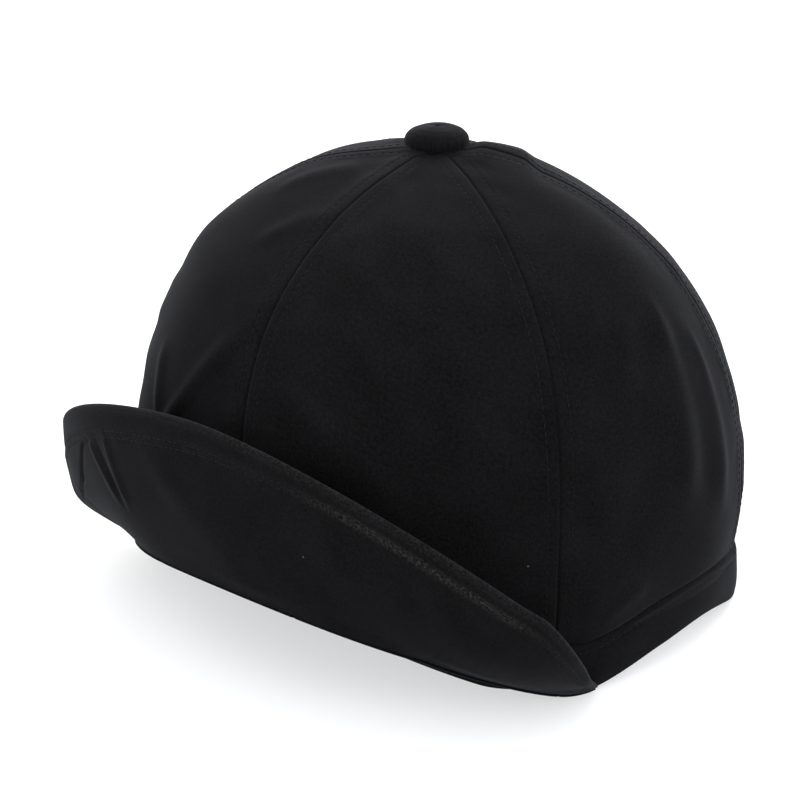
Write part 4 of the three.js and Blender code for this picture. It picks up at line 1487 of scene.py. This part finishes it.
def build_strap():
    ribbon("strap_cloth", STRAP_PATH, "crown", "strap")
    for piece in ribbon("strap_tail_cloth", TAIL_PATH, None, "strap_tail"):
        bend_tail(piece)
    ribbon("slide_tab_cloth", TAB_PATH, "crown", "slide_tab")
    strap_patch("strap_loop_tape", (171, 196), (-2.6, -1.8), "crown", "strap_loop_patch", 0.15)
    strap_patch("strap_hook_tape", (172, 195), (-1.2, -0.2), "strap_tail", "strap_hook_patch")


def dress_nodes():
    """Better materials for the CAD pieces whose shape stays."""
    looks = {"strap_slide": SLIDE, "button_core": ZINC, "button_stud": ZINC}
    for node, look in looks.items():
        piece = frame["nodes"][node]
        piece.data.materials.clear()
        piece.data.materials.append(look)
        lay_flat(piece.data)


# ---------------------------------------------------------------- scene

CAMERA_AZIMUTH = 42.0
CAMERA_ELEVATION = 24.4
CAMERA_ROLL = -0.75
CAMERA_DISTANCE = 900.0
SENSOR_WIDTH = 36.0
VIEW_WIDTH = 268.456
FOOT_RIGHT = 15.537
FOOT_DOWN = 60.067
FLOOR_HALF = 4.0
FLOOR_COLOUR = (0.37, 0.37, 0.37)
FLOOR_GLOW = 0.55
WORLD_COLOUR = (0.97, 0.98, 1.0)
WORLD_STRENGTH = 2.3
LIGHTS_AIM = (0, 0, 0.08)
# Soft round lights: (place in metres, size, power, colour).
LIGHTS = {
    "overhead": ((-0.15, 0.45, 1.3), 0.9, 9.0, (1.0, 0.98, 0.95)),
    "left_window": ((-1.1, 0.7, 0.8), 0.8, 3.0, (1.0, 0.97, 0.93)),
    "right_window": ((1.2, 0.5, 0.8), 0.8, 3.6, (0.86, 0.9, 1.0)),
}


def build_camera():
    """A camera that sees VIEW_WIDTH millimetres at the foot of the crown's axis.

    The foot lies FOOT_RIGHT right of and FOOT_DOWN below the middle of the view.
    """
    azimuth = CAMERA_AZIMUTH * DEGREE
    elevation = CAMERA_ELEVATION * DEGREE
    back = Vector((math.sin(azimuth) * math.cos(elevation), -math.cos(azimuth) * math.cos(elevation),
                   math.sin(elevation)))
    right = Vector((math.cos(azimuth), math.sin(azimuth), 0))
    up = back.cross(right)
    roll = CAMERA_ROLL * DEGREE
    right_rolled = right * math.cos(roll) - up * math.sin(roll)
    up_rolled = right * math.sin(roll) + up * math.cos(roll)
    forward = (-back * CAMERA_DISTANCE - right_rolled * FOOT_RIGHT + up_rolled * FOOT_DOWN).normalized()
    side = forward.cross(up_rolled).normalized()
    top = side.cross(forward)
    data = bpy.data.cameras.new("camera")
    camera = add_to_scene("camera", data)
    rotation = Matrix((side, top, -forward)).transposed().to_4x4()
    place = Vector(AXIS_FOOT) + back * CAMERA_DISTANCE * MM
    camera.matrix_world = Matrix.Translation(place) @ rotation
    data.sensor_width = SENSOR_WIDTH
    data.lens = SENSOR_WIDTH * CAMERA_DISTANCE / VIEW_WIDTH
    data.clip_start = 0.05
    data.clip_end = 20
    bpy.context.scene.camera = camera


def build_floor():
    """A pale floor that glows a little, so that the shadow on it stays soft and light."""
    mesh = bpy.data.meshes.new("floor")
    corners = [(x * FLOOR_HALF, y * FLOOR_HALF, 0) for x, y in ((-1, -1), (1, -1), (1, 1), (-1, 1))]
    mesh.from_pydata(corners, [], [(0, 1, 2, 3)])
    look, _, shader = new_look("pale_floor")
    set_shader(shader, Base_Color=(*FLOOR_COLOUR, 1), Emission_Color=(1, 1, 1, 1), Roughness=0.7,
               Emission_Strength=FLOOR_GLOW, Specular_IOR_Level=0.1)
    mesh.materials.append(look)
    add_to_scene("floor", mesh)


def area_light(name, place, size, power, colour):
    data = bpy.data.lights.new(name, "AREA")
    data.shape = "DISK"
    data.size = size
    data.energy = power
    data.color = colour
    light = add_to_scene(name, data)
    light.location = place
    light.rotation_euler = (Vector(LIGHTS_AIM) - Vector(place)).to_track_quat("-Z", "Y").to_euler()


def build_lights():
    scene = bpy.context.scene
    scene.view_settings.view_transform = "Standard"
    world = bpy.data.worlds.new("studio")
    world.use_nodes = True
    background = world.node_tree.nodes["Background"]
    background.inputs["Color"].default_value = (*WORLD_COLOUR, 1)
    background.inputs["Strength"].default_value = WORLD_STRENGTH
    scene.world = world
    for name, light in LIGHTS.items():
        area_light(name, *light)


build_camera()
build_floor()
build_lights()
build_crown()
build_band()
build_button()
build_brim()
build_brim_root()
build_lining_edge()
build_tapes()
build_sweatband()
build_brow_pad()
build_shell()
build_pads()
build_insert_patches()
build_binding()
build_strap()
dress_nodes()
